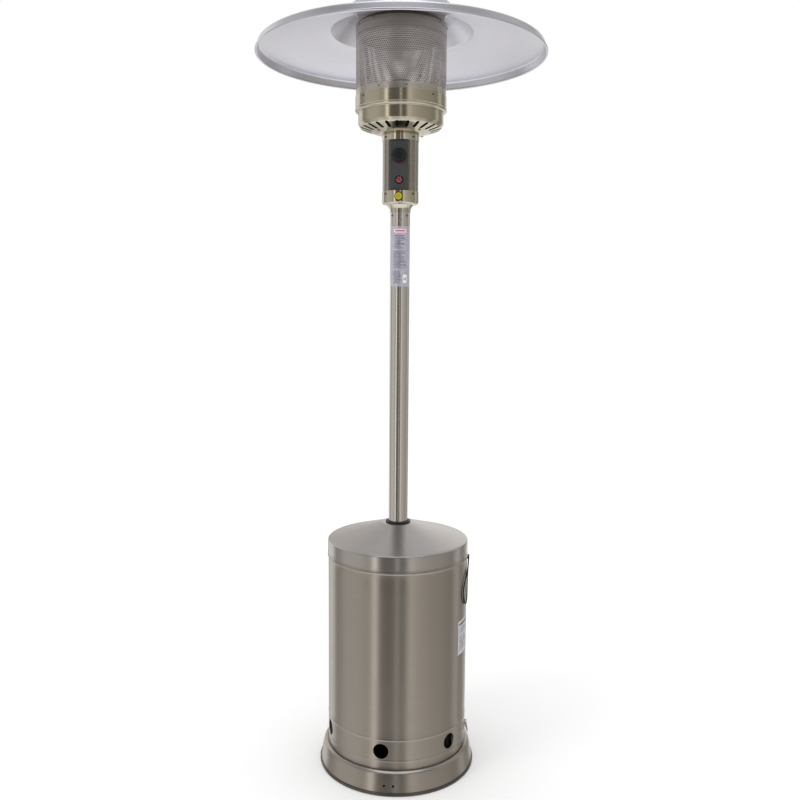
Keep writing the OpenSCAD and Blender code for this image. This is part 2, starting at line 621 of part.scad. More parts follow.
// Screws of the inner brackets, low on the screen: [angle, height above the head band]
bracket_screws = [[-40, 34], [-23, 8.5], [12, 8.5], [29.5, 34],
    [140, 34], [157, 8.5], [192, 8.5], [209.5, 34]];
module on_screen() { for (q = bracket_screws) outward(q[0], screen_r, head_top + q[1]) children(); }
module on_cap() { around(12) outward(0, screen_r + 0.8, cap_screw_z) children(); }
module emitter_holes() {
    on_cap() translate([0, 0, -5]) cylinder(r = 1.25, h = 10, $fn = 24);
    on_screen() translate([0, 0, -5]) cylinder(r = 1.25, h = 10, $fn = 24);
}
module emitter_screen() color("gray") difference() {
    translate([0, 0, head_top - screen_lap])
        ring(screen_r, screen_r - screen_t, screen_h + screen_lap - cap_side_h + cap_lap);
    emitter_holes();
    for (a = screw_az) outward(a, screen_r - 5, head_top - 9) cylinder(r = 1.85, h = 10, $fn = 24);
}
cap_path = rounded([[screen_r + 0.8, screen_top - cap_side_h], [screen_r + 0.8, screen_top],
    [0, screen_top + 1.2]], [9]);
module emitter_cap() color("gray") difference() {
    turned(cap_path, 0.75);
    around(stud_count) translate([0, -stud_pcd_r, screen_top - 6])
        cylinder(r = stud_r + 0.2, h = 12, $fn = 24);
    emitter_holes();
}
module emitter_screws() color("dimgray") {
    on_cap() pan_screw(2.4, 1.4, 1.2, 3);
    on_screen() pan_screw(2.4, 1.2, 1.2, 3);
}
baffle_path = rounded([[0, baffle_z], [baffle_foot_r, baffle_z], [baffle_rim_r - 6, baffle_rim_z - 4],
    [baffle_rim_r, baffle_rim_z]], [6, 5]);
module baffle() color("dimgray") difference() {
    turned(baffle_path, 1);
    around(stud_count) translate([0, -stud_pcd_r, baffle_z - 3]) cylinder(r = stud_r + 0.2, h = 8, $fn = 24);
}
module spacers() color("silver") around(stud_count) translate([0, -stud_pcd_r, baffle_z + 1])
    ring(6, stud_r + 0.2, crown_z - baffle_z - 1, $fn = 32);
module studs() color("gray") around(stud_count) translate([0, -stud_pcd_r, screen_top - 6]) union() {
    cylinder(r = stud_r, h = crown_z - screen_top + 6 + 16, $fn = 32);
    cylinder(r = 5.8, h = 5, $fn = 6);
}
reflector_path = rounded([[reflector_r - 2.2, rim_z + 2], [fold_r, fold_z],
    [(fold_r + crease_r) / 2, (fold_z + crease_z) / 2 + 5], [crease_r, crease_z],
    [crown_r + 18, crown_z - 24], [crown_r, crown_z], [0, crown_z + 0.5]], [8, 900, 12, 60, 14], 8);
module reflector() color("lavender") difference() {
    union() {
        rotate_extrude($fn = 128) polygon(turned_wall(reflector_path, -reflector_t));
        rotate_extrude($fn = 128) translate([reflector_r - bead_r, rim_z + bead_r])
            circle(r = bead_r, $fn = 24);
    }
    around(stud_count) translate([0, -stud_pcd_r, crown_z - 5]) cylinder(r = stud_r + 0.4, h = 12, $fn = 24);
}
crown_top = crown_z + reflector_t + 0.5;
module stud_washers() color("silver") around(stud_count) translate([0, -stud_pcd_r, crown_top])
    ring(9, stud_r + 0.3, 1.6, $fn = 32);
module wing_nuts() color("silver") around(stud_count) translate([0, -stud_pcd_r, crown_top + 1.6])
    difference() {
        union() {
            cylinder(r1 = 6, r2 = 4.6, h = 6, $fn = 32);
            for (s = [-1, 1]) translate([s * 9, 1.2, 6.4]) rotate([90, 0, 0])
                cylinder(r = 4.6, h = 2.4, $fn = 32);
        }
        translate([0, 0, -1]) cylinder(r = stud_r, h = 12, $fn = 32);
    }

// ---- sliding bush and tank housing
lip_low = lid_lip_z - sheet_t;
module lid_bush() color("black") rotate_extrude() polygon([
    [bush_in, lip_low - 16], [bush_foot_r, lip_low - bush_play - 3], [bush_foot_r, lip_low - bush_play],
    [bush_r, lip_low - bush_play], [bush_r, lid_lip_z + bush_play], [bush_cap_r, lid_lip_z + bush_play],
    [bush_cap_r, lid_lip_z + bush_cap_h - 1], [bush_cap_r - 1, lid_lip_z + bush_cap_h],
    [bush_in, lid_lip_z + bush_cap_h]]);
lid_path = rounded([[band_r, band_top - band_h], [band_r, band_top], [band_r - 8, band_top + 3.4],
    [bush_foot_r + 26, lid_lip_z - 7], [bush_foot_r + 6, lid_lip_z - 0.4], [bush_r + 0.4, lid_lip_z]],
    [5, 12, 60, 6]);
module housing_lid() color("silver") turned(lid_path, sheet_t);
shell_path = concat([[housing_r, shell_z]], bead(housing_r, shell_z + 26, 6, 0.7),
    bead(housing_r, shell_z + 88, 9, 0.8), bead(housing_r, rib_z, 9, 1.2), [[housing_r, shell_top]]);
module housing_shell() color("darkgray") difference() {
    turned(shell_path, sheet_t);
    for (i = [0:vent_count - 1]) outward(vent_az + 360 * i / vent_count, housing_r - 20, shell_z + vent_up)
        cylinder(d = vent_d, h = 40, $fn = 64);
}
rating_az = 64;                              // angle at which the rating label starts
rating_arc = 36;
rating_h = 101;
rating_up = 297;                             // its height above the shell's lower edge
module rating_label() color("white") translate([0, 0, shell_z + rating_up]) rotate([0, 0, rating_az - 90])
    rotate_extrude(angle = rating_arc) translate([housing_r + label_gap, 0]) square([label_t, rating_h]);

module loop_anchor() color("black") translate([0, 0, anchor_z])
    rotate([0, 0, anchor_az - anchor_arc / 2 - 90]) rotate_extrude(angle = anchor_arc)
        translate([housing_r + label_gap, 0]) square([anchor_out, anchor_h]);
module cord_loop() color("black") swept(smooth([for (q = cord_route) polar(q)], 2), cord_r, 8);

module latch_plate() color("silver") rotate([0, 0, latch_az]) union() {
    rotate([0, 0, -90 - 2.9]) rotate_extrude(angle = 5.8) translate([housing_r + 0.05, latch_z - 20])
        square([1.2, 25]);
    for (s = [-1, 1]) difference() {
        translate([s * (latch_w / 2 + 1) - 0.7, -housing_r - latch_pin_out - 3, latch_z - 4])
            cube([1.4, latch_pin_out + 2.4, 8]);
        outward_pin(latch_pin_r);
    }
}
module outward_pin(r) translate([-latch_w, -housing_r - latch_pin_out, latch_z]) rotate([0, 90, 0])
    cylinder(r = r, h = 2 * latch_w, $fn = 32);
module latch_pin() color("silver") rotate([0, 0, latch_az]) intersection() {
    outward_pin(latch_pin_r);
    translate([-latch_w / 2 - 2.4, -housing_r - 20, latch_z - 5]) cube([latch_w + 4.8, 40, 10]);
}
module latch_lever() color("whitesmoke") rotate([0, 0, latch_az]) difference() {
    translate([-latch_w / 2, -housing_r, latch_z]) rotate([90, 0, 90]) linear_extrude(latch_w) polygon(
        concat([for (a = [0:20:180]) [latch_hub_r * cos(a) - latch_pin_out, latch_hub_r * sin(a)]],
            [[-7.2, -3], [-10.6, -24], [-10, -28], [-8.8, -28.4], [-2.2, -9]]));
    outward_pin(latch_pin_r + 0.06);
}

base_plate();
base_pan();
strut_right();
strut_rear();
strut_left();
strut_bolts();
post_flange();
flange_bolts();
post();
gas_pipe();
gas_inlet();
post_screws();
post_label();
neck();
lower_collar();
control_box();
upper_collar();
control_panel();
collar_screws();
yellow_plug();
tilt_switch();
gas_valve();
valve_bush();
valve_stem();
knob();
igniter_body();
igniter_bezel();
igniter_button();
igniter_lead();
electrode();
thermocouple();
pilot_tube();
pilot_burner();
mixer_tube();
burner_bowl();
bowl_screws();
head_band();
head_screws();
burner_plate();
burner_dome();
emitter_screen();
emitter_cap();
emitter_screws();
baffle();
spacers();
studs();
reflector();
stud_washers();
wing_nuts();
lid_bush();
housing_lid();
housing_shell();
rating_label();
loop_anchor();
cord_loop();
latch_plate();
latch_pin();
latch_lever();
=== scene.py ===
import json
import math

import bmesh
import bpy
import numpy as np
from mathutils import Matrix, Vector

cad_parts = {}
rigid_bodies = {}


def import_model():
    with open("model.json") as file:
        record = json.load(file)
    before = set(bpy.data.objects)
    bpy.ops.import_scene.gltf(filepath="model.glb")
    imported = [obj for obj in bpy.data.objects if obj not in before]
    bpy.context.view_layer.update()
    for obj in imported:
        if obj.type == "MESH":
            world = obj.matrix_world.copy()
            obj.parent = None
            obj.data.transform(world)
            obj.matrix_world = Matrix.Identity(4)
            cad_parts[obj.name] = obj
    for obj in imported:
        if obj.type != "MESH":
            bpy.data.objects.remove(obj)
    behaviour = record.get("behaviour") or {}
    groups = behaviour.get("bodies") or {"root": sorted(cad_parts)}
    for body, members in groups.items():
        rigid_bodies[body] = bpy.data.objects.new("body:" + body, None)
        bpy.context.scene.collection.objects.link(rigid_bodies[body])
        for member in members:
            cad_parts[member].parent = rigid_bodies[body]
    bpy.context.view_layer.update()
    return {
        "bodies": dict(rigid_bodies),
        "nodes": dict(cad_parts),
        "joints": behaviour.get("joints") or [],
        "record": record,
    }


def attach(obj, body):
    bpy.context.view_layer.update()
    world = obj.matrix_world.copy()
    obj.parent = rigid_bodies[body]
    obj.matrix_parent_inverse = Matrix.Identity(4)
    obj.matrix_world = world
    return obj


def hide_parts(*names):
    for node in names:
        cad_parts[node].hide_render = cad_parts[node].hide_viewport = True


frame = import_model()
scene = bpy.context.scene
nodes = frame["nodes"]
print("frame loaded:", len(nodes), "CAD nodes")

studio = {
    "cameraDistance": 2.5103,    # from the heater's axis, metres
    "cameraHeight": 1.3866,
    "cameraAzimuth": 5.5,        # degrees towards the heater's right side
    "lookDown": 6.57,
    "lookAside": -0.072,
    "roll": 0.42,
    "lens": 38.76,
    "backdrop": 1.0,             # what the camera sees behind the heater
    "floor": (0.99, 0.99, 0.99),
    "floorRadius": 9.0,
}


def placeCamera():
    # Turned about Z to face the axis, tipped down about X, then rolled about its own line of sight.
    turn = math.radians(studio["cameraAzimuth"])
    data = bpy.data.cameras.new("viewCamera")
    data.lens = studio["lens"]
    data.sensor_width = 36
    camera = bpy.data.objects.new("viewCamera", data)
    scene.collection.objects.link(camera)
    facing = Matrix.Rotation(turn + math.radians(studio["lookAside"]), 4, "Z")
    tipped = Matrix.Rotation(math.radians(90 - studio["lookDown"]), 4, "X")
    rolled = Matrix.Rotation(math.radians(studio["roll"]), 4, "Z")
    camera.matrix_world = facing @ tipped @ rolled
    camera.location = (studio["cameraDistance"] * math.sin(turn),
                       -studio["cameraDistance"] * math.cos(turn), studio["cameraHeight"])
    scene.camera = camera


placeCamera()
print("camera placed")


def newPiece(name, vertices, faces, sharp=35):
    # A mesh object from arrays of points and quads; edges that turn more than sharp degrees stay crisp.
    faces = np.asarray(faces)
    used, faces = np.unique(faces, return_inverse=True)
    mesh = bpy.data.meshes.new(name)
    mesh.from_pydata(np.asarray(vertices)[used].tolist(), [], faces.reshape(-1, 4).tolist())
    piece = bpy.data.objects.new(name, mesh)
    scene.collection.objects.link(piece)
    return smoothed(piece, sharp)


def smoothed(piece, sharp=35):
    piece.data.shade_smooth()
    piece.data.set_sharp_from_angle(angle=math.radians(sharp))
    return piece


def together(*shapes):
    # Several shapes, each (points, quads), as one.
    starts = np.cumsum([0] + [len(points) for points, faces in shapes[:-1]])
    return (np.vstack([points for points, faces in shapes]),
            np.vstack([faces + start for (points, faces), start in zip(shapes, starts)]))


def weld(piece, distance=2e-7):
    # Points in one place become one, which closes seams and poles.
    work = bmesh.new()
    work.from_mesh(piece.data)
    bmesh.ops.remove_doubles(work, verts=work.verts, dist=distance)
    bmesh.ops.dissolve_degenerate(work, edges=work.edges, dist=distance)
    work.to_mesh(piece.data)
    work.free()
    return piece


def settle(piece, sharp=35):
    # The modifiers' result becomes the piece's own mesh.
    bpy.context.view_layer.update()
    shaped = piece.evaluated_get(bpy.context.evaluated_depsgraph_get())
    mesh = bpy.data.meshes.new_from_object(shaped)
    piece.modifiers.clear()
    piece.data = mesh
    return smoothed(piece, sharp)


def gridFaces(rows, columns, closeRows=False, closeColumns=False, start=0):
    # Quads of a rows x columns grid of points, wrapped round where it is closed.
    a = np.arange(rows if closeRows else rows - 1)[:, None]
    b = np.arange(columns if closeColumns else columns - 1)[None, :]
    up, along = (a + 1) % rows, (b + 1) % columns
    quads = [a * columns + b, a * columns + along, up * columns + along, up * columns + b]
    return np.stack([np.broadcast_to(q, (len(a), b.shape[1])) for q in quads], -1).reshape(-1, 4) + start


def around(radius, angle, height):
    # Round the axis from the front: (r sin a, -r cos a, z).
    return np.stack(np.broadcast_arrays(radius * np.sin(angle), -radius * np.cos(angle), height), -1)


def fullTurn(sides):
    return np.arange(sides) * 2 * math.pi / sides


def roundedPath(points, radii, steps=6):
    # Each inner corner becomes an arc that touches both sides: centre + r (cos a, sin a).
    points = np.asarray(points, float)
    path = [points[:1]]
    for before, corner, after, radius in zip(points, points[1:], points[2:], radii):
        if radius <= 0:
            path.append(corner[None])
            continue
        u = (before - corner) / np.linalg.norm(before - corner)
        v = (after - corner) / np.linalg.norm(after - corner)
        half = math.acos(np.clip(u @ v, -1, 1)) / 2
        centre = corner + (u + v) / np.linalg.norm(u + v) * radius / math.sin(half)
        start, end = (corner + w * radius / math.tan(half) - centre for w in (u, v))
        first = math.atan2(start[1], start[0])
        sweep = (math.atan2(end[1], end[0]) - first + math.pi) % (2 * math.pi) - math.pi
        a = first + sweep * np.linspace(0, 1, steps + 1)
        path.append(centre + radius * np.stack([np.cos(a), np.sin(a)], 1))
    return np.vstack(path + [points[-1:]])


def beside(path, distance):
    # The path moved to its left: p + d n / (n . m), which keeps the wall even at corners.
    step = np.diff(path, axis=0)
    step /= np.linalg.norm(step, axis=1)[:, None]
    before, after = np.vstack([step[:1], step]), np.vstack([step, step[-1:]])
    middle = before + after
    middle /= np.linalg.norm(middle, axis=1)[:, None]
    left = np.stack([-middle[:, 1], middle[:, 0]], 1)
    return path + distance * left / (middle * before).sum(1)[:, None]


def walled(path, thickness):
    # A sheet's closed section: the path, then the path moved aside by the thickness, backwards.
    inner = beside(path, thickness)
    inner[:, 0] = np.maximum(inner[:, 0], 0)
    return np.vstack([path, inner[::-1]])


def turnedShape(outline, sides=192):
    # A closed outline of radius and height carried round the axis:
    # P(u, v) = (r(u) sin v, -r(u) cos v, z(u)).
    r, z = np.asarray(outline, float).T
    if (r * np.roll(z, -1) - z * np.roll(r, -1)).sum() < 0:
        r, z = r[::-1], z[::-1]
    points = around(r[:, None], fullTurn(sides)[None, :], z[:, None])
    return points.reshape(-1, 3), gridFaces(len(r), sides, True, True)


def turned(name, *outlines, sides=192, sharp=35):
    # One piece of one or more closed outlines carried round the axis; a pole becomes one point.
    piece = newPiece(name, *together(*[turnedShape(outline, sides) for outline in outlines]), sharp)
    return smoothed(weld(piece), sharp)


def outwards(points, azimuth, radius, height):
    # Lays a shape that stands on +Z on the side of the heater: its x runs round, its y up, its z out.
    a = math.radians(azimuth)
    right = np.array([math.cos(a), math.sin(a), 0])
    out = np.array([math.sin(a), -math.cos(a), 0])
    up = np.array([0, 0, 1.0])
    return points @ np.stack([right, up, out]) + out * radius + up * height


def dress(piece, material, body, slot, *stoodFor):
    # Gives a piece its finish and its body, and hides the CAD nodes it stands for.
    piece.data.materials.clear()
    piece.data.materials.append(finishes[material])
    if stoodFor:
        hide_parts(*stoodFor)
    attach(piece, body)
    return piece


def joinPieces(first, *others):
    # Several pieces as one mesh, where each already lies in its place.
    work = bmesh.new()
    for piece in (first, *others):
        work.from_mesh(piece.data)
    work.to_mesh(first.data)
    work.free()
    for piece in others:
        bpy.data.objects.remove(piece)
    return smoothed(first)


def sheetWithHoles(name, path, angles, rows, holes, thickness, sharp=35):
    # S(a, s): angle a round the axis, distance s along the path. Each hole has a window of the grid to
    # itself, whose frame runs from the window's own points to the hole's edge: h + (w - h) t.
    # A point of the edge lies the hole's radius away from the nearest point of the hole's core line.
    step = np.linalg.norm(np.diff(path, axis=0), axis=1)
    along = np.concatenate([[0], np.cumsum(step)])

    def surface(a, s):
        return around(np.interp(s, along, path[:, 0]), a, np.interp(s, along, path[:, 1]))

    columns = len(angles)
    points = [surface(angles[None, :], rows[:, None]).reshape(-1, 3)]
    faces = gridFaces(len(rows), columns, False, True).reshape(len(rows) - 1, columns, 4)
    kept = np.ones((len(rows) - 1, columns), bool)
    extra = []
    total = len(points[0])
    for hole in holes:
        c0, c1, r0, r1 = hole["columns"][0], hole["columns"][1], hole["rows"][0], hole["rows"][1]
        kept[r0:r1, np.arange(c0, c1) % columns] = False
        turns = np.arange(c0, c1 + 1)
        a = angles[turns % columns] + 2 * math.pi * (turns // columns)
        s = rows[r0:r1 + 1]
        edge = np.vstack([np.stack([a[:-1], np.full(len(a) - 1, s[0])], 1),
                          np.stack([np.full(len(s) - 1, a[-1]), s[:-1]], 1),
                          np.stack([a[:0:-1], np.full(len(a) - 1, s[-1])], 1),
                          np.stack([np.full(len(s) - 1, a[0]), s[:0:-1]], 1)])
        radius = np.interp(edge[:, 1], along, path[:, 0])
        offset = np.stack([(edge[:, 0] - hole["angle"]) * radius, edge[:, 1] - hole["at"]], 1)
        core = np.stack([np.zeros(len(offset)), np.clip(offset[:, 1], -hole["core"], hole["core"])], 1)
        away = offset - core
        rim = core + hole["radius"] * away / np.linalg.norm(away, axis=1)[:, None]
        rimAt = rim[:, 1] + hole["at"]
        rimAngle = hole["angle"] + rim[:, 0] / np.interp(rimAt, along, path[:, 0])
        t = np.linspace(0, 1, hole["rings"])[None, :]
        ringAngle = rimAngle[:, None] * (1 - t) + edge[:, :1] * t
        ringAt = rimAt[:, None] * (1 - t) + edge[:, 1:] * t
        points.append(surface(ringAngle, ringAt).reshape(-1, 3))
        extra.append(gridFaces(len(edge), hole["rings"], True, False, total))
        total += len(points[-1])
    piece = newPiece(name, np.vstack(points), np.vstack([faces[kept]] + extra), sharp)
    weld(piece, 2e-6)
    wall = piece.modifiers.new("wall", "SOLIDIFY")
    wall.thickness = thickness
    wall.offset = -1
    return settle(piece, sharp)


def addNode(tree, kind, inputs=None, **settings):
    made = tree.nodes.new(kind)
    for key, value in settings.items():
        setattr(made, key, value)
    for key, value in (inputs or {}).items():
        if isinstance(value, bpy.types.NodeSocket):
            tree.links.new(value, made.inputs[key])
        else:
            made.inputs[key].default_value = value
    return made


def sum2(tree, operation, a, b):
    return addNode(tree, "ShaderNodeMath", {0: a, 1: b}, operation=operation).outputs[0]


def blendColours(tree, factor, a, b, mode="MIX"):
    mixed = addNode(tree, "ShaderNodeMix", {"Factor": factor, 6: a, 7: b}, data_type="RGBA", blend_type=mode)
    return mixed.outputs[2]


def between(tree, value, low, high, toLow=0.0, toHigh=1.0):
    spread = {"Value": value, "From Min": low, "From Max": high, "To Min": toLow, "To Max": toHigh}
    return addNode(tree, "ShaderNodeMapRange", spread, interpolation_type="SMOOTHSTEP").outputs["Result"]


def newGroup(name, inputs, outputs):
    kinds = {"vector": "NodeSocketVector", "value": "NodeSocketFloat", "colour": "NodeSocketColor"}
    tree = bpy.data.node_groups.new(name, "ShaderNodeTree")
    for label, kind in inputs:
        tree.interface.new_socket(name=label, in_out="INPUT", socket_type=kinds[kind])
    for label, kind in outputs:
        tree.interface.new_socket(name=label, in_out="OUTPUT", socket_type=kinds[kind])
    return tree, tree.nodes.new("NodeGroupInput"), tree.nodes.new("NodeGroupOutput")


def makeBrushedGrain():
    # Hair-fine lines that run round the heater: noise squeezed along Z, broken up by longer streaks.
    tree, given, result = newGroup(
        "brushedGrain",
        [("Vector", "vector"), ("Colour", "colour"), ("Streak Colour", "colour"), ("Lines", "value"),
         ("Roughness", "value"), ("Spread", "value")],
        [("Colour", "colour"), ("Roughness", "value"), ("Height", "value")])
    wide = addNode(tree, "ShaderNodeCombineXYZ", {0: 9.0, 1: 9.0, 2: given.outputs["Lines"]})
    fine = addNode(tree, "ShaderNodeVectorMath",
                   {0: given.outputs["Vector"], 1: wide.outputs[0]}, operation="MULTIPLY")
    lines = addNode(tree, "ShaderNodeTexNoise", {"Vector": fine.outputs[0], "Scale": 1.0, "Detail": 3.0,
                                                 "Roughness": 0.62})
    broad = addNode(tree, "ShaderNodeVectorMath",
                    {0: given.outputs["Vector"], 1: (3.2, 3.2, 22.0)}, operation="MULTIPLY")
    streaks = addNode(tree, "ShaderNodeTexNoise", {"Vector": broad.outputs[0], "Scale": 1.0, "Detail": 2.0})
    tone = between(tree, lines.outputs["Fac"], 0.36, 0.66)
    shade = blendColours(tree, tone, given.outputs["Streak Colour"], given.outputs["Colour"])
    cloud = between(tree, streaks.outputs["Fac"], 0.35, 0.7, 0.0, 0.35)
    colour = blendColours(tree, cloud, shade, given.outputs["Streak Colour"])
    tree.links.new(colour, result.inputs["Colour"])
    offMiddle = sum2(tree, "SUBTRACT", streaks.outputs["Fac"], 0.5)
    swing = sum2(tree, "MULTIPLY", given.outputs["Spread"], offMiddle)
    rough = sum2(tree, "ADD", given.outputs["Roughness"], sum2(tree, "MULTIPLY", swing, 2.0))
    tree.links.new(rough, result.inputs["Roughness"])
    tree.links.new(lines.outputs["Fac"], result.inputs["Height"])
    return tree


def makeHandling():
    # Finger marks and drying spots: soft blotches where the surface is duller and a little darker.
    tree, given, result = newGroup(
        "handling",
        [("Vector", "vector"), ("Colour", "colour"), ("Roughness", "value"), ("Amount", "value"),
         ("Size", "value")],
        [("Colour", "colour"), ("Roughness", "value")])
    blots = addNode(tree, "ShaderNodeTexNoise", {
        "Vector": given.outputs["Vector"], "Scale": given.outputs["Size"], "Detail": 5.0, "Distortion": 0.6})
    speckScale = sum2(tree, "MULTIPLY", given.outputs["Size"], 14.0)
    specks = addNode(tree, "ShaderNodeTexVoronoi", {"Vector": given.outputs["Vector"], "Scale": speckScale})
    mark = between(tree, blots.outputs["Fac"], 0.52, 0.72)
    spot = between(tree, specks.outputs["Distance"], 0.16, 0.05)
    marked = sum2(tree, "MAXIMUM", mark, sum2(tree, "MULTIPLY", spot, mark))
    both = sum2(tree, "MULTIPLY", given.outputs["Amount"], marked)
    film = (0.2, 0.18, 0.16, 1)
    dull = blendColours(tree, sum2(tree, "MULTIPLY", both, 0.5), given.outputs["Colour"], film)
    tree.links.new(dull, result.inputs["Colour"])
    tree.links.new(sum2(tree, "ADD", given.outputs["Roughness"], sum2(tree, "MULTIPLY", both, 0.22)),
                   result.inputs["Roughness"])
    return tree


def makePlasticSkin():
    # Spark-eroded moulding skin: fine even noise, with faint scuffs that shine.
    tree, given, result = newGroup(
        "plasticSkin",
        [("Vector", "vector"), ("Colour", "colour"), ("Scuff Colour", "colour"), ("Roughness", "value"),
         ("Scale", "value")],
        [("Colour", "colour"), ("Roughness", "value"), ("Height", "value")])
    skin = addNode(tree, "ShaderNodeTexNoise", {
        "Vector": given.outputs["Vector"], "Scale": given.outputs["Scale"], "Detail": 2.0})
    scuffs = addNode(tree, "ShaderNodeTexNoise", {"Vector": given.outputs["Vector"], "Scale": 55.0,
                                                  "Detail": 6.0, "Roughness": 0.7})
    worn = between(tree, scuffs.outputs["Fac"], 0.56, 0.74, 0.0, 0.45)
    colour = blendColours(tree, worn, given.outputs["Colour"], given.outputs["Scuff Colour"])
    tree.links.new(colour, result.inputs["Colour"])
    grainy = between(tree, skin.outputs["Fac"], 0.3, 0.7, -0.05, 0.05)
    tree.links.new(sum2(tree, "ADD", given.outputs["Roughness"], grainy), result.inputs["Roughness"])
    tree.links.new(skin.outputs["Fac"], result.inputs["Height"])
    return tree


def makePrintedRows():
    # Rows of small print without letters: thin stripes up the label, broken into words by noise.
    tree, given, result = newGroup(
        "printedRows", [("Vector", "vector"), ("Rows", "value"), ("Words", "value"), ("Fill", "value")],
        [("Mask", "value")])
    split = addNode(tree, "ShaderNodeSeparateXYZ", {0: given.outputs["Vector"]})
    across, up = split.outputs[0], split.outputs[1]
    scaled = sum2(tree, "MULTIPLY", up, given.outputs["Rows"])
    row = sum2(tree, "FLOOR", scaled, 0.0)
    inRow = sum2(tree, "FRACT", scaled, 0.0)
    stripe = sum2(tree, "MULTIPLY", between(tree, inRow, 0.22, 0.34), between(tree, inRow, 0.78, 0.66))
    place = addNode(tree, "ShaderNodeCombineXYZ",
                    {0: sum2(tree, "MULTIPLY", across, given.outputs["Words"]),
                     1: sum2(tree, "MULTIPLY", row, 7.31), 2: 0.0})
    words = addNode(tree, "ShaderNodeTexNoise", {"Vector": place.outputs[0], "Scale": 1.0, "Detail": 1.0})
    word = between(tree, words.outputs["Fac"], given.outputs["Fill"],
                   sum2(tree, "ADD", given.outputs["Fill"], 0.04))
    length = addNode(tree, "ShaderNodeTexWhiteNoise", {"W": row}, noise_dimensions="1D")
    reach = between(tree, length.outputs["Value"], 0.0, 1.0, 0.55, 0.97)
    inside = sum2(tree, "LESS_THAN", across, reach)
    printed = sum2(tree, "MULTIPLY", sum2(tree, "MULTIPLY", stripe, word), inside)
    tree.links.new(printed, result.inputs["Mask"])
    return tree


brushedGrain = makeBrushedGrain()
handling = makeHandling()
plasticSkin = makePlasticSkin()
printedRows = makePrintedRows()


def startFinish(name):
    material = bpy.data.materials.new(name)
    material.use_nodes = True
    tree = material.node_tree
    shader = tree.nodes["Principled BSDF"]
    place = addNode(tree, "ShaderNodeTexCoord")
    return material, tree, shader, place


def useGroup(tree, group, inputs):
    made = addNode(tree, "ShaderNodeGroup", node_tree=group)
    for key, value in inputs.items():
        if isinstance(value, bpy.types.NodeSocket):
            tree.links.new(value, made.inputs[key])
        else:
            made.inputs[key].default_value = value
    return made


def addBump(tree, shader, height, strength, distance):
    bump = addNode(tree, "ShaderNodeBump", {"Height": height, "Strength": strength, "Distance": distance})
    tree.links.new(bump.outputs["Normal"], shader.inputs["Normal"])


def full(colour):
    return (*colour, 1.0)


def brushedMetal(name, look):
    # Brushed round the axis, so its highlights are drawn out up and down. Where a look gives a second
    # colour, the sheet turns to it towards the top, fading in between two heights.
    material, tree, shader, place = startFinish(name)
    grain = useGroup(tree, brushedGrain, {
        "Vector": place.outputs["Object"], "Colour": full(look["colour"]),
        "Streak Colour": full(look["streak"]), "Lines": look["lines"], "Roughness": look["roughness"],
        "Spread": look["spread"]})
    marks = useGroup(tree, handling, {
        "Vector": place.outputs["Object"], "Colour": grain.outputs["Colour"],
        "Roughness": grain.outputs["Roughness"], "Amount": look["marks"], "Size": look["markSize"]})
    colour = marks.outputs["Colour"]
    if "tint" in look:
        height = addNode(tree, "ShaderNodeSeparateXYZ", {0: place.outputs["Object"]}).outputs[2]
        colour = blendColours(tree, between(tree, height, *look["tintFrom"]), colour, full(look["tint"]))
    tree.links.new(colour, shader.inputs["Base Color"])
    tree.links.new(marks.outputs["Roughness"], shader.inputs["Roughness"])
    shader.inputs["Metallic"].default_value = 1.0
    shader.inputs["Anisotropic"].default_value = look["anisotropic"]
    shader.inputs["Anisotropic Rotation"].default_value = 0.25
    tangent = addNode(tree, "ShaderNodeTangent", direction_type="RADIAL", axis="Z")
    tree.links.new(tangent.outputs[0], shader.inputs["Tangent"])
    addBump(tree, shader, grain.outputs["Height"], look["bump"], 0.0004)
    return material


def platedMetal(name, look):
    # A mirror finish over pressed sheet: long soft waves in the surface, and handling marks.
    material, tree, shader, place = startFinish(name)
    marks = useGroup(tree, handling, {
        "Vector": place.outputs["Object"], "Colour": full(look["colour"]), "Roughness": look["roughness"],
        "Amount": look["marks"], "Size": look["markSize"]})
    tree.links.new(marks.outputs["Colour"], shader.inputs["Base Color"])
    tree.links.new(marks.outputs["Roughness"], shader.inputs["Roughness"])
    shader.inputs["Metallic"].default_value = 1.0
    waves = addNode(tree, "ShaderNodeTexNoise", {"Vector": place.outputs["Object"], "Scale": look["waves"],
                                                 "Detail": 2.0})
    addBump(tree, shader, waves.outputs["Fac"], look["bump"], 0.001)
    return material


def mouldedPlastic(name, look):
    material, tree, shader, place = startFinish(name)
    skin = useGroup(tree, plasticSkin, {
        "Vector": place.outputs["Object"], "Colour": full(look["colour"]),
        "Scuff Colour": full(look["scuff"]), "Roughness": look["roughness"], "Scale": look["grain"]})
    tree.links.new(skin.outputs["Colour"], shader.inputs["Base Color"])
    tree.links.new(skin.outputs["Roughness"], shader.inputs["Roughness"])
    shader.inputs["Specular IOR Level"].default_value = look["gloss"]
    addBump(tree, shader, skin.outputs["Height"], look["bump"], 0.0003)
    return material


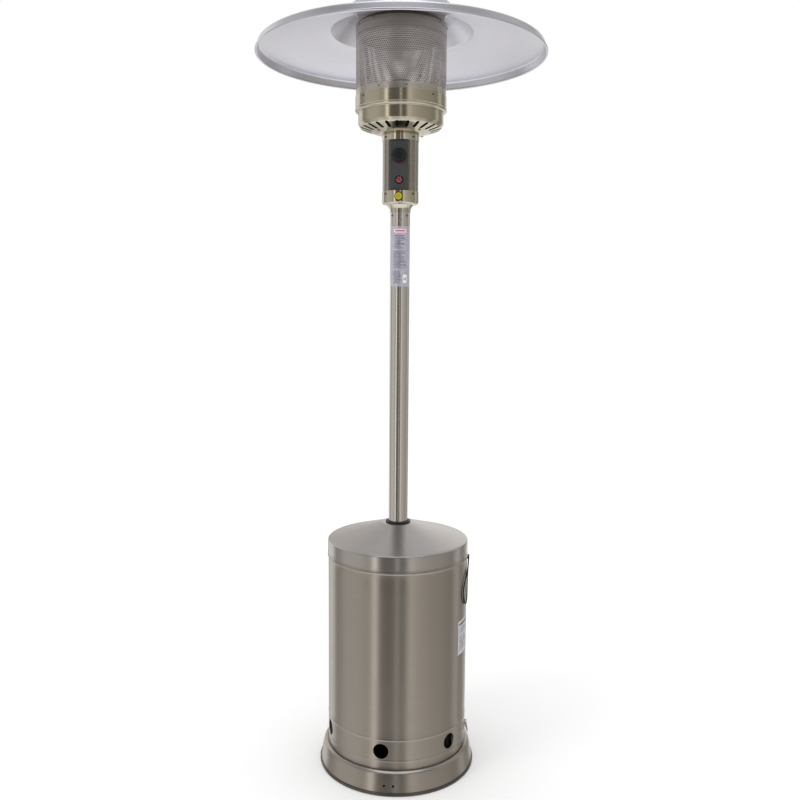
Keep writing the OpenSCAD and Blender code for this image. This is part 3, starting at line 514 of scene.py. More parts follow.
metalLooks = {
    "housingSteel": {"colour": (0.52, 0.48, 0.445), "streak": (0.485, 0.445, 0.405), "lines": 1600,
                     "roughness": 0.30, "spread": 0.04, "marks": 0.04, "markSize": 5.0, "anisotropic": 0.7,
                     "bump": 0.03},
    "boxSteel": {"colour": (0.52, 0.49, 0.45), "streak": (0.43, 0.40, 0.365), "lines": 1100,
                 "roughness": 0.28, "spread": 0.05, "marks": 0.12, "markSize": 16.0, "anisotropic": 0.6,
                 "bump": 0.06},
    "lidSteel": {"colour": (0.60, 0.57, 0.56), "streak": (0.56, 0.53, 0.515), "lines": 2200,
                 "roughness": 0.26, "spread": 0.03, "marks": 0.03, "markSize": 6.0, "anisotropic": 0.75,
                 "bump": 0.03},
    # rimSteel's dark colour is painted shade: the base plate's steel is darkened for the shade along the
    # heater's foot.
    "rimSteel": {"colour": (0.20, 0.185, 0.17), "streak": (0.13, 0.12, 0.11), "lines": 700,
                 "roughness": 0.36, "spread": 0.05, "marks": 0.3, "markSize": 9.0, "anisotropic": 0.4,
                 "bump": 0.05},
    # screenSteel turns darker towards the top, between 2.100 and 2.122 m up.
    "screenSteel": {"colour": (0.72, 0.67, 0.63), "streak": (0.62, 0.57, 0.53), "lines": 300,
                    "roughness": 0.30, "spread": 0.06, "marks": 0.25, "markSize": 9.0, "anisotropic": 0.3,
                    "bump": 0.04, "tint": (0.36, 0.33, 0.305), "tintFrom": (2.100, 2.122)},
    "capSteel": {"colour": (0.36, 0.33, 0.305), "streak": (0.30, 0.27, 0.25), "lines": 300,
                 "roughness": 0.30, "spread": 0.06, "marks": 0.25, "markSize": 9.0, "anisotropic": 0.3,
                 "bump": 0.04},
    # baffleSteel's dark colour is painted shade: it stands for the shade under the reflector.
    "baffleSteel": {"colour": (0.30, 0.275, 0.25), "streak": (0.20, 0.18, 0.165), "lines": 400,
                    "roughness": 0.40, "spread": 0.06, "marks": 0.3, "markSize": 12.0, "anisotropic": 0.3,
                    "bump": 0.06},
    "reflectorMetal": {"colour": (0.85, 0.85, 0.92), "streak": (0.83, 0.83, 0.90), "lines": 700,
                       "roughness": 0.36, "spread": 0.04, "marks": 0.03, "markSize": 4.0, "anisotropic": 0.3,
                       "bump": 0.015},
}
platedLooks = {
    "postSteel": {"colour": (0.78, 0.75, 0.73), "roughness": 0.15, "marks": 0.10, "markSize": 9.0,
                  "waves": 9.0, "bump": 0.015},
    "bowlNickel": {"colour": (0.61, 0.565, 0.455), "roughness": 0.15, "marks": 0.15, "markSize": 14.0,
                   "waves": 26.0, "bump": 0.06},
    "nickel": {"colour": (0.69, 0.645, 0.535), "roughness": 0.10, "marks": 0.12, "markSize": 14.0,
               "waves": 26.0, "bump": 0.06},
    "zinc": {"colour": (0.42, 0.40, 0.37), "roughness": 0.34, "marks": 0.4, "markSize": 90.0,
             "waves": 400.0, "bump": 0.2},
    "screwSteel": {"colour": (0.26, 0.245, 0.225), "roughness": 0.30, "marks": 0.4, "markSize": 120.0,
                   "waves": 500.0, "bump": 0.2},
    "clipSteel": {"colour": (0.80, 0.79, 0.77), "roughness": 0.22, "marks": 0.2, "markSize": 60.0,
                  "waves": 120.0, "bump": 0.1},
    "brassStock": {"colour": (0.72, 0.53, 0.25), "roughness": 0.28, "marks": 0.3, "markSize": 60.0,
                   "waves": 200.0, "bump": 0.1},
    "copperTube": {"colour": (0.72, 0.42, 0.28), "roughness": 0.3, "marks": 0.3, "markSize": 80.0,
                   "waves": 200.0, "bump": 0.1},
    "burnerSteel": {"colour": (0.42, 0.39, 0.36), "roughness": 0.38, "marks": 0.5, "markSize": 30.0,
                    "waves": 90.0, "bump": 0.12},
}
plasticLooks = {
    "blackPlastic": {"colour": (0.008, 0.008, 0.010), "scuff": (0.025, 0.025, 0.030), "roughness": 0.38,
                     "grain": 1800, "gloss": 0.5, "bump": 0.12},
    "panelPlastic": {"colour": (0.046, 0.050, 0.050), "scuff": (0.07, 0.074, 0.074), "roughness": 0.30,
                     "grain": 900, "gloss": 0.5, "bump": 0.05},
    "blackPaint": {"colour": (0.02, 0.02, 0.02), "scuff": (0.07, 0.07, 0.07), "roughness": 0.45,
                   "grain": 1200, "gloss": 0.4, "bump": 0.25},
    "yellowPlastic": {"colour": (0.46, 0.37, 0.004), "scuff": (0.52, 0.44, 0.03), "roughness": 0.25,
                      "grain": 700, "gloss": 0.5, "bump": 0.05},
    "redPlastic": {"colour": (0.30, 0.008, 0.012), "scuff": (0.45, 0.04, 0.04), "roughness": 0.24,
                   "grain": 700, "gloss": 0.5, "bump": 0.05},
    "brownPlastic": {"colour": (0.10, 0.05, 0.03), "scuff": (0.16, 0.1, 0.07), "roughness": 0.45,
                     "grain": 900, "gloss": 0.4, "bump": 0.15},
    "whitePlastic": {"colour": (0.78, 0.78, 0.75), "scuff": (0.7, 0.69, 0.65), "roughness": 0.4,
                     "grain": 900, "gloss": 0.5, "bump": 0.1},
    "redSleeve": {"colour": (0.42, 0.04, 0.03), "scuff": (0.5, 0.1, 0.08), "roughness": 0.5,
                  "grain": 600, "gloss": 0.4, "bump": 0.1},
    "cordRubber": {"colour": (0.006, 0.006, 0.006), "scuff": (0.018, 0.018, 0.018), "roughness": 0.62,
                   "grain": 900, "gloss": 0.25, "bump": 0.1},
    "glaze": {"colour": (0.84, 0.82, 0.77), "scuff": (0.7, 0.66, 0.58), "roughness": 0.18,
              "grain": 300, "gloss": 0.6, "bump": 0.04},
    "redPrint": {"colour": (0.24, 0.015, 0.02), "scuff": (0.32, 0.02, 0.02), "roughness": 0.4,
                 "grain": 900, "gloss": 0.4, "bump": 0.03},
    "whitePrint": {"colour": (0.14, 0.14, 0.14), "scuff": (0.11, 0.11, 0.11), "roughness": 0.45,
                   "grain": 900, "gloss": 0.4, "bump": 0.03},
}
finishes = {key: brushedMetal(key, look) for key, look in metalLooks.items()}
finishes.update({key: platedMetal(key, look) for key, look in platedLooks.items()})
finishes.update({key: mouldedPlastic(key, look) for key, look in plasticLooks.items()})
print("finishes made:", len(finishes))

# the cord loop that hangs on the housing's right side
cordLoop = {
    "radius": 0.0019,
    "steps": 6,                  # pieces of curve between two points of the route
    "route": [                   # degrees round from the front, distance from the axis and height in mm
        (90.8, 211, 627), (90.8, 211, 621), (89.8, 210.8, 614), (87.6, 210.4, 607), (84.6, 210, 600),
        (81.0, 209.8, 592), (77.6, 209.6, 583), (74.8, 209.6, 573), (72.8, 209.6, 562), (71.6, 209.6, 550),
        (71.4, 209.6, 538), (72.2, 209.6, 526), (73.8, 209.6, 515), (76.2, 209.6, 507), (79.0, 209.6, 504),
        (81.6, 209.6, 508), (83.4, 209.6, 517), (84.3, 209.6, 528), (84.5, 209.6, 540), (84.4, 209.6, 552),
        (84.4, 209.6, 564), (85.0, 209.6, 576), (86.4, 209.8, 588), (88.4, 210, 599), (91.0, 210.4, 608),
        (92.8, 210.8, 615), (93.4, 211, 621), (93.4, 211, 627)],
}


def smoothRoute(points, steps):
    # Catmull-Rom: between b and c, 0.5 (2b + (c - a) t + (2a - 5b + 4c - d) t^2 + (3b - a - 3c + d) t^3).
    last = len(points) - 1
    i = np.arange(last)
    a, b, c, d = (points[np.clip(i + k, 0, last)][:, None] for k in (-1, 0, 1, 2))
    t = (np.arange(steps) / steps)[None, :, None]
    curve = 0.5 * (2 * b + (c - a) * t + (2 * a - 5 * b + 4 * c - d) * t ** 2
                   + (3 * b - a - 3 * c + d) * t ** 3)
    return np.vstack([curve.reshape(-1, 3), points[-1:]])


def makeCordLoop():
    # A round sheath carried along the route.
    azimuth, radius, height = np.array(cordLoop["route"]).T
    points = smoothRoute(around(radius / 1000, np.radians(azimuth), height / 1000), cordLoop["steps"])
    curve = bpy.data.curves.new("cordLoop", "CURVE")
    curve.dimensions = "3D"
    curve.bevel_depth = cordLoop["radius"]
    curve.bevel_resolution = 4
    curve.use_fill_caps = True
    line = curve.splines.new("POLY")
    line.points.add(len(points) - 1)
    line.points.foreach_set("co", np.column_stack([points, np.ones(len(points))]).ravel())
    cord = bpy.data.objects.new("cordLoop", curve)
    scene.collection.objects.link(cord)
    dress(cord, "cordRubber", "housing", "black_cord", "cord_loop")


makeCordLoop()

# floor, world and lights
surroundings = {
    "plain": 1.06,               # light on matt surfaces
    "turn": 5.5,                 # degrees; the pattern below counts from here
    "reach": [                   # what shiny metal sees: degrees round, brightness, warmth
        (-180, 0.80, 0.3), (-160, 0.55, 0.4), (-146, 0.85, 0.2), (-128, 0.80, 0.2), (-122, 0.30, 0.6),
        (-108, 0.38, 0.6), (-92, 0.52, 0.4), (-62, 0.50, 0.5), (-52, 0.42, 0.9), (-43, 0.40, 1.0),
        (-39, 1.10, 0.4), (-34, 1.10, 0.4), (-31, 0.16, 1.0), (-8, 0.13, 0.9), (-3, 0.14, 0.8),
        (-1, 0.70, 0.3), (1, 0.66, 0.3), (3, 0.12, 0.8), (14, 0.20, 0.8), (20, 0.64, 0.6),
        (30, 0.50, 0.7), (42, 0.44, 0.7), (62, 0.38, 0.8), (84, 0.34, 0.8),
        (100, 0.27, 0.7), (108, 0.50, 0.4), (118, 0.55, 0.3), (124, 0.28, 0.6), (145, 0.42, 0.5),
        (162, 0.85, 0.3), (180, 0.80, 0.3)],
    "high": 0.50,                # brightness of the upper walls, behind and in front
    "highFront": 0.15,
    "above": 2.0,                # straight overhead
    "below": 0.98,               # and of the ground
    "warm": (1.0, 0.93, 0.80),
    "cool": (0.99, 0.995, 1.0),
}


def makeWorld():
    # Seen in metal: bright and dark bands side by side, as between white screens in a dim room.
    # Everything else gets plain even white light.
    world = bpy.data.worlds.new("whiteRoom")
    scene.world = world
    world.use_nodes = True
    tree = world.node_tree
    tree.nodes.clear()
    place = addNode(tree, "ShaderNodeTexCoord")
    split = addNode(tree, "ShaderNodeSeparateXYZ", {0: place.outputs["Generated"]})
    x, y, z = split.outputs
    angle = sum2(tree, "ARCTAN2", x, sum2(tree, "MULTIPLY", y, -1.0))
    share = sum2(tree, "FRACT", sum2(tree, "ADD", sum2(tree, "DIVIDE", angle, 2 * math.pi),
                                     0.5 - surroundings["turn"] / 360), 0.0)
    bands = addNode(tree, "ShaderNodeFloatCurve", {"Value": share})
    tints = addNode(tree, "ShaderNodeFloatCurve", {"Value": share})
    for node, column in ((bands, 1), (tints, 2)):
        curve = node.mapping.curves[0]
        stops = surroundings["reach"]
        scale = 0.7 if column == 1 else 1.0
        curve.points[0].location = (0, stops[0][column] * scale)
        curve.points[1].location = (1, stops[-1][column] * scale)
        for stop in stops[1:-1]:
            curve.points.new((stop[0] + 180) / 360, stop[column] * scale)
        for point in curve.points:
            point.handle_type = "AUTO_CLAMPED"
        node.mapping.update()
    level = sum2(tree, "DIVIDE", bands.outputs[0], 0.7)
    upper = between(tree, z, 0.45, 0.85)
    lower = between(tree, z, -0.45, -0.95)
    walls = between(tree, y, -0.25, 0.25, surroundings["highFront"], surroundings["high"])
    roof = between(tree, z, 0.90, 0.985, walls, surroundings["above"])
    lit = addNode(tree, "ShaderNodeMix", {"Factor": upper, "A": level, "B": roof})
    lit = addNode(tree, "ShaderNodeMix", {"Factor": lower, "A": lit.outputs["Result"],
                                          "B": surroundings["below"]})
    plainEnds = sum2(tree, "SUBTRACT", 1.0, sum2(tree, "MAXIMUM", upper, lower))
    warmth = sum2(tree, "MULTIPLY", tints.outputs[0], plainEnds)
    colour = blendColours(tree, warmth, full(surroundings["cool"]), full(surroundings["warm"]))
    seen = addNode(tree, "ShaderNodeBackground", {"Color": colour, "Strength": lit.outputs["Result"]})
    plain = addNode(tree, "ShaderNodeBackground", {"Color": (1, 1, 1, 1), "Strength": surroundings["plain"]})
    white = addNode(tree, "ShaderNodeBackground", {"Color": (1, 1, 1, 1), "Strength": studio["backdrop"]})
    ray = addNode(tree, "ShaderNodeLightPath")
    glossy = addNode(tree, "ShaderNodeMixShader",
                     {0: ray.outputs["Is Glossy Ray"], 1: plain.outputs[0], 2: seen.outputs[0]})
    camera = addNode(tree, "ShaderNodeMixShader",
                     {0: ray.outputs["Is Camera Ray"], 1: glossy.outputs[0], 2: white.outputs[0]})
    addNode(tree, "ShaderNodeOutputWorld", {"Surface": camera.outputs[0]})


def makeFloor():
    # A wide matt disc that takes the soft shadow; the world stands for it in mirror finishes.
    points = around(np.array([0.0, studio["floorRadius"]])[:, None], fullTurn(96)[None, :],
                    np.full((2, 1), -0.0005))
    floor = weld(newPiece("floor", points.reshape(-1, 3), gridFaces(2, 96, False, True)[:, ::-1]))
    material = bpy.data.materials.new("floorPaint")
    material.use_nodes = True
    tree = material.node_tree
    shader = tree.nodes["Principled BSDF"]
    place = addNode(tree, "ShaderNodeTexCoord")
    mottle = addNode(tree, "ShaderNodeTexNoise", {"Vector": place.outputs["Object"], "Scale": 3.0})
    shade = between(tree, mottle.outputs["Fac"], 0.2, 0.8)
    darker = tuple(c * 0.985 for c in studio["floor"])
    colour = blendColours(tree, shade, full(darker), full(studio["floor"]))
    tree.links.new(colour, shader.inputs["Base Color"])
    shader.inputs["Roughness"].default_value = 0.9
    shader.inputs["Specular IOR Level"].default_value = 0.1
    floor.data.materials.append(material)
    floor.visible_glossy = False


def addSoftbox(name, place, aim, size, power):
    lamp = bpy.data.lights.new(name, "AREA")
    lamp.shape = "RECTANGLE"
    lamp.size, lamp.size_y = size
    lamp.energy = power
    box = bpy.data.objects.new(name, lamp)
    scene.collection.objects.link(box)
    way = Vector(aim) - Vector(place)
    box.rotation_euler = way.to_track_quat("-Z", "Y").to_euler()
    box.location = place
    return box


makeWorld()
makeFloor()
keyLight = addSoftbox("keyLight", (-2.6, -2.4, 3.4), (0, 0, 0.9), (1.6, 1.6), 30)
keyLight.visible_glossy = False     # its square would show in the polished parts
scene.view_settings.view_transform = "Standard"
print("floor, world and lights set")

# base
base = {
    "radius": 0.2323, "rimHeight": 0.009, "plate": 0.003, "rimRound": 0.002, "sheet": 0.0015,
    "foot": 0.229, "bulge": 0.2232, "shoulder": 0.2195, "ledge": 0.2117, "ledgeTop": 0.065,
    "seat": (0.2090, 0.2049, 0.0016),   # outer radius, inner radius and depth of the housing's seat
    "upstand": (0.2030, 0.2045, 0.077),   # inner and outer radius and top of the ring inside the housing
    "wheelHole": 0.0033, "wheelHoleAt": 0.013, "wheelHoleHeight": 0.028, "skirtAtHole": 0.2262,
    "holeWindow": 6.6,                    # degrees each side of the front with fine columns for the holes
}


def makeBasePlate():
    # A flat plate whose edge is rolled up into a rim; its steel is painted dark for the shade at the foot.
    r, h, bend = base["radius"], base["rimHeight"], base["rimRound"]
    outer = roundedPath([(0.010, 0), (r, 0), (r, h), (r - 0.005, h), (r - 0.005, base["plate"]),
                         (0.010, base["plate"])], [bend, bend, 0.0012, 0.001], 8)
    plate = turned("basePlate", outer, sides=240)
    dress(plate, "rimSteel", "stand", "brushed_steel", "base_plate")


def makeBasePan():
    # The pressed skirt with its rounded shoulder, the housing's seat and the floor inside it, and two
    # holes side by side at the front. An upstand keeps the housing central.
    top = base["ledgeTop"]
    seatOuter, seatInner, depth = base["seat"]
    path = roundedPath([(base["foot"], base["rimHeight"] + 0.0003), (base["bulge"], top - 0.020),
                        (base["shoulder"], top - 0.005), (base["ledge"], top), (seatOuter, top),
                        (seatOuter - 0.0004, top - depth), (seatInner + 0.0004, top - depth),
                        (seatInner, top), (0.180, top), (0.120, top), (0.060, top), (0, top)],
                       [0.060, 0.010, 0.004, 0.0005, 0.0005, 0.0005, 0.0005, 0, 0, 0], 10)
    window = math.radians(base["holeWindow"])
    fine = np.linspace(-window, window, 17)
    angles = np.concatenate([fine, np.linspace(window, 2 * math.pi - window, 233)[1:-1]])
    along = np.concatenate([[0], np.cumsum(np.linalg.norm(np.diff(path, axis=0), axis=1))])
    skirt = path[:, 0] > base["ledge"] + 0.001    # the rising part only
    hole = np.interp(base["wheelHoleHeight"], path[skirt, 1], along[skirt])
    inWindow = np.linspace(hole - 0.008, hole + 0.008, 9)
    rest = along[(along < hole - 0.0085) | (along > hole + 0.0085)]
    rows = np.unique(np.concatenate([rest, inWindow]))
    first = int(np.argmin(abs(rows - inWindow[0])))
    turn = base["wheelHoleAt"] / base["skirtAtHole"]
    holes = [{"angle": side * turn, "at": hole, "radius": base["wheelHole"], "core": 0, "rings": 4,
              "columns": (0, 8) if side < 0 else (8, 16), "rows": (first, first + 8)} for side in (-1, 1)]
    near, far, rise = base["upstand"]
    foot = top - 0.0005
    ring = roundedPath([(near, foot), (far, foot), (far, rise), (near, rise), (near, foot)],
                       [0, 0.0005, 0.0005], 4)[:-1]
    pan = joinPieces(sheetWithHoles("basePan", path, angles, rows, holes, base["sheet"]),
                     turned("upstand", ring, sides=240))
    dress(pan, "housingSteel", "stand", "brushed_steel", "base_pan")


makeBasePlate()
makeBasePan()
print("base made")

# gas bottle housing
housing = {
    "radius": 0.2067, "sheet": 0.0012, "foot": 0.0653, "top": 0.6823,
    # each bead's height above the ground, its width and how far it stands out
    "beads": [(0.0913, 0.006, 0.0007), (0.1533, 0.009, 0.0008), (0.6372, 0.0085, 0.0022)],
    "vents": 6, "firstVent": -7, "ventHeight": 0.119, "ventRadius": 0.02225, "ventWindow": (12, 0.0238),
    "columns": 360,
}
lid = {
    "band": 0.20805, "bandFoot": 0.6467, "bandTop": 0.6847, "hem": 0.0005, "sheet": 0.0012,
    "lip": 0.7337, "coneFoot": 0.7267, "coneFootRadius": 0.0686,
}


def makeHousingShell():
    # A rolled drum: r = radius + rise (1 + cos) / 2 across each bead, with six round vents low down.
    heights = [housing["foot"], housing["top"]]
    for at, width, rise in housing["beads"]:
        heights += list(at + width / 2 * np.linspace(-1, 1, 13))
    low = housing["ventHeight"] - housing["ventWindow"][1]
    high = housing["ventHeight"] + housing["ventWindow"][1]
    heights += list(np.linspace(low, high, 13)) + list(np.linspace(0.18, 0.62, 5))
    z = np.unique(np.round(heights, 7))
    z = z[np.append(np.diff(z) > 1e-5, True)]
    r = np.full(len(z), housing["radius"])
    for at, width, rise in housing["beads"]:
        r += rise / 2 * (1 + np.cos(np.clip((z - at) / (width / 2), -1, 1) * math.pi))
    path = np.column_stack([r, z])
    along = np.concatenate([[0], np.cumsum(np.linalg.norm(np.diff(path, axis=0), axis=1))])
    side = housing["ventWindow"][0]
    angles = np.radians(housing["firstVent"] - side) + fullTurn(housing["columns"])
    first = int(np.argmin(abs(z - low)))
    step = housing["columns"] // housing["vents"]
    holes = [{"angle": math.radians(housing["firstVent"] + 360 * i / housing["vents"]),
              "at": float(np.interp(housing["ventHeight"], z, along)), "radius": housing["ventRadius"],
              "core": 0, "rings": 5, "columns": (i * step, i * step + 2 * side),
              "rows": (first, first + 12)} for i in range(housing["vents"])]
    shell = sheetWithHoles("housingShell", path, angles, along, holes, housing["sheet"])
    dress(shell, "housingSteel", "housing", "brushed_steel", "housing_shell")


def makeHousingLid():
    # Band, rounded shoulder, cone and flat lip in one pressing.
    band, top, lip = lid["band"], lid["bandTop"], lid["lip"]
    foot, hem = lid["bandFoot"], lid["hem"]
    path = roundedPath([(band - hem, foot), (band + hem, foot + 0.0002), (band + hem, foot + 0.0030),
                        (band, foot + 0.0050), (band, top), (band - 0.008, top + 0.0034),
                        (lid["coneFootRadius"], lid["coneFoot"]), (0.0486, lip - 0.0004), (0.035, lip)],
                       [0.0006, 0.001, 0.001, 0.005, 0.012, 0.060, 0.006], 12)
    dress(turned("housingLid", walled(path, lid["sheet"]), sides=256), "lidSteel", "housing",
          "brushed_steel", "housing_lid")


def makeLidBush():
    # The black bush that slides on the post: a cap above the lid's lip and a long skirt below it.
    inner, low = 0.0292, lid["lip"] - lid["sheet"]
    top = lid["lip"] + 0.0042
    outline = roundedPath([(inner + 0.001, top), (inner, top - 0.001), (inner, low - 0.016),
                           (0.0426, low - 0.0033), (0.0426, low - 0.0003), (0.0346, low - 0.0003),
                           (0.0346, lid["lip"] + 0.0003), (0.0366, lid["lip"] + 0.0003),
                           (0.0366, top - 0.0003), (0.0356, top), (inner + 0.001, top)],
                          [0.0008, 0, 0.001, 0, 0, 0.0004, 0.0004, 0.0009, 0.0009], 5)[:-1]
    dress(turned("lidBush", outline, sides=144), "blackPlastic", "bush", "black_plastic", "lid_bush")


makeHousingShell()
makeHousingLid()
makeLidBush()
print("housing made")

# labels
labels = {
    "thickness": 0.00022,
    "rating": {"radius": 0.20675, "from": 64, "to": 100, "low": 0.3623, "high": 0.4633},
    "post": {"radius": 0.02835, "from": 5.5 - 72, "to": 5.5 + 72, "low": 1.4273, "high": 1.5963},
}


def wrappedLabel(name, size, columns, rows):
    # A thin sheet on the cylinder: P(u, v) = (r sin a(u), -r cos a(u), z(v)), with u and v kept as its map.
    u, v = np.linspace(0, 1, columns), np.linspace(0, 1, rows)
    a = np.radians(size["from"] + (size["to"] - size["from"]) * u)[None, :]
    z = (size["low"] + (size["high"] - size["low"]) * v)[:, None]
    across, up = np.broadcast_arrays(u[None, :], v[:, None])
    outer = around(size["radius"] + labels["thickness"], a, z).reshape(-1, 3)
    inner = around(size["radius"], a, z).reshape(-1, 3)
    rim = np.concatenate([np.arange(columns), columns * np.arange(1, rows) + columns - 1,
                          columns * rows - 2 - np.arange(columns - 1),
                          columns * np.arange(rows - 2, 0, -1)])
    front, count = gridFaces(rows, columns), rows * columns
    after = np.roll(rim, -1)
    wall = np.stack([rim, rim + count, after + count, after], 1)
    label = newPiece(name, np.vstack([outer, inner]), np.vstack([front, front[:, ::-1] + count, wall]), 60)
    flat = np.tile(np.column_stack([across.ravel(), up.ravel()]), (2, 1))
    corners = np.empty(len(label.data.loops), np.int32)
    label.data.loops.foreach_get("vertex_index", corners)
    label.data.uv_layers.new(name="print").data.foreach_set("uv", flat[corners].ravel())
    return label


def insideBox(tree, split, low, high):
    # 1 inside a rectangle of the label's own map, 0 outside it.
    sides = [between(tree, split[0], low[0] - 0.004, low[0] + 0.004),
             between(tree, split[0], high[0] + 0.004, high[0] - 0.004),
             between(tree, split[1], low[1] - 0.003, low[1] + 0.003),
             between(tree, split[1], high[1] + 0.003, high[1] - 0.003)]
    first = sum2(tree, "MULTIPLY", sides[0], sides[1])
    return sum2(tree, "MULTIPLY", first, sum2(tree, "MULTIPLY", sides[2], sides[3]))


def foilLabel(name, look):
    # Printed foil: rows of grey print, and blocks of plain colour, over a silvery ground.
    material, tree, shader, place = startFinish(name)
    uv = addNode(tree, "ShaderNodeUVMap", uv_map="print").outputs[0]
    split = addNode(tree, "ShaderNodeSeparateXYZ", {0: uv}).outputs
    crinkle = addNode(tree, "ShaderNodeTexNoise", {"Vector": place.outputs["Object"], "Scale": 55.0})
    colour = blendColours(tree, between(tree, crinkle.outputs["Fac"], 0.3, 0.7), full(look["ground"]),
                          full(look["shade"]))
    for low, high, rows, words, fill, shade in look["print"]:
        area = insideBox(tree, split, low, high)
        fitted = addNode(tree, "ShaderNodeMapping", {"Vector": uv}, vector_type="TEXTURE")
        fitted.inputs["Location"].default_value = (*low, 0)
        fitted.inputs["Scale"].default_value = (high[0] - low[0], high[1] - low[1], 1)
        text = useGroup(tree, printedRows, {"Vector": fitted.outputs[0], "Rows": rows, "Words": words,
                                            "Fill": fill})
        colour = blendColours(tree, sum2(tree, "MULTIPLY", area, text.outputs["Mask"]), colour, full(shade))
    printed = 0.0
    for low, high, shade in look["blocks"]:
        area = insideBox(tree, split, low, high)
        colour = blendColours(tree, area, colour, full(shade))
        printed = sum2(tree, "MAXIMUM", area, printed)
    tree.links.new(colour, shader.inputs["Base Color"])
    tree.links.new(between(tree, printed, 0.0, 1.0, look["metal"], 0.0), shader.inputs["Metallic"])
    tree.links.new(between(tree, crinkle.outputs["Fac"], 0.3, 0.7, look["roughness"] - 0.05,
                           look["roughness"] + 0.07), shader.inputs["Roughness"])
    addBump(tree, shader, crinkle.outputs["Fac"], 0.1, 0.001)
    return material


ink = (0.10, 0.10, 0.13)
finishes["postFoil"] = foilLabel("postFoil", {
    "ground": (0.60, 0.60, 0.70), "shade": (0.52, 0.52, 0.62), "metal": 0.55, "roughness": 0.32,
    "print": [((0.26, 0.63), (0.74, 0.86), 9, 16, 0.40, ink),
              ((0.22, 0.30), (0.78, 0.60), 16, 22, 0.38, ink),
              ((0.22, 0.05), (0.58, 0.27), 12, 16, 0.38, ink)],
    "blocks": [((0.20, 0.890), (0.80, 0.965), (0.50, 0.16, 0.20)),
               ((0.225, 0.897), (0.775, 0.958), (0.62, 0.60, 0.66)),
               ((0.30, 0.918), (0.70, 0.938), (0.34, 0.06, 0.10)),
               ((0.62, 0.06), (0.80, 0.20), (0.72, 0.72, 0.74)),
               ((0.655, 0.105), (0.69, 0.150), (0.06, 0.06, 0.07)),
               ((0.73, 0.105), (0.765, 0.150), (0.06, 0.06, 0.07))]})
finishes["ratingFoil"] = foilLabel("ratingFoil", {
    "ground": (0.66, 0.66, 0.67), "shade": (0.58, 0.58, 0.60), "metal": 0.35, "roughness": 0.38,
    "print": [((0.06, 0.62), (0.94, 0.80), 6, 24, 0.42, ink),
              ((0.06, 0.10), (0.60, 0.56), 14, 18, 0.40, ink)],
    "blocks": [((0.06, 0.86), (0.60, 0.93), (0.10, 0.10, 0.12)),
               ((0.66, 0.12), (0.92, 0.52), (0.46, 0.46, 0.48)),
               ((0.70, 0.17), (0.88, 0.47), (0.62, 0.62, 0.63))]})
dress(wrappedLabel("ratingLabel", labels["rating"], 60, 24), "ratingFoil", "housing", "label_foil",
      "rating_label")
dress(wrappedLabel("postLabel", labels["post"], 72, 40), "postFoil", "stand", "label_foil", "post_label")
print("labels made")

# small fittings on the housing's right side
latch = {
    "azimuth": 90, "width": 0.016, "pinOut": 0.0042, "hub": 0.0025, "pinHeight": 0.1173,
    "plate": (0.0208, 0.0012, 0.0973, 0.1223),       # width, thickness, lowest and highest point
    "lever": [(0.0072, -0.003), (0.0106, -0.024), (0.0100, -0.028), (0.0088, -0.0284), (0.0022, -0.009)],
    "edge": 0.00035,
}
anchor = {"azimuth": 92, "half": 3, "depth": 0.007, "low": 0.6270, "high": 0.6360, "edge": 0.0012}


def rounded(piece, width, segments=3, sharp=35):
    # Breaks the piece's edges with a small radius.
    bevel = piece.modifiers.new("edge", "BEVEL")
    bevel.width = width
    bevel.segments = segments
    bevel.limit_method = "ANGLE"
    bevel.angle_limit = math.radians(30)
    bevel.harden_normals = False
    return settle(piece, sharp)


def slabPiece(name, points, low, high, place=None, edge=0.0, segments=3):
    # The slab as a piece: its caps are whole faces, so that the edges can be rounded.
    points = np.asarray(points, float)
    if (points[:, 0] * np.roll(points[:, 1], -1) - points[:, 1] * np.roll(points[:, 0], -1)).sum() < 0:
        points = points[::-1]
    count = len(points)
    body = np.vstack([np.column_stack([points, np.full(count, z)]) for z in (low, high)])
    i = np.arange(count)
    side = np.stack([i, (i + 1) % count, (i + 1) % count + count, i + count], 1)
    if place is not None:
        body = place(body)
    mesh = bpy.data.meshes.new(name)
    mesh.from_pydata(body.tolist(), [], side.tolist() + [i[::-1].tolist(), (i + count).tolist()])
    piece = bpy.data.objects.new(name, mesh)
    scene.collection.objects.link(piece)
    return rounded(piece, edge, segments) if edge else smoothed(piece)


def arcOf(centre, radius, start, end, steps):
    # centre + r (cos a, sin a), from start to end in degrees.
    a = np.radians(np.linspace(start, end, steps + 1))
    return np.asarray(centre) + radius * np.stack([np.cos(a), np.sin(a)], 1)


def sidewise(azimuth, radius):
    # Stands an outline of (distance out from the shell, height) upright at an azimuth; its depth runs round.
    a = math.radians(azimuth)
    out = np.array([math.sin(a), -math.cos(a), 0])
    right = np.array([math.cos(a), math.sin(a), 0])

    def place(points):
        x, y, z = points.T
        return (out * (radius + x)[:, None] - right * z[:, None] + np.array([0, 0, 1.0]) * y[:, None])

    return place


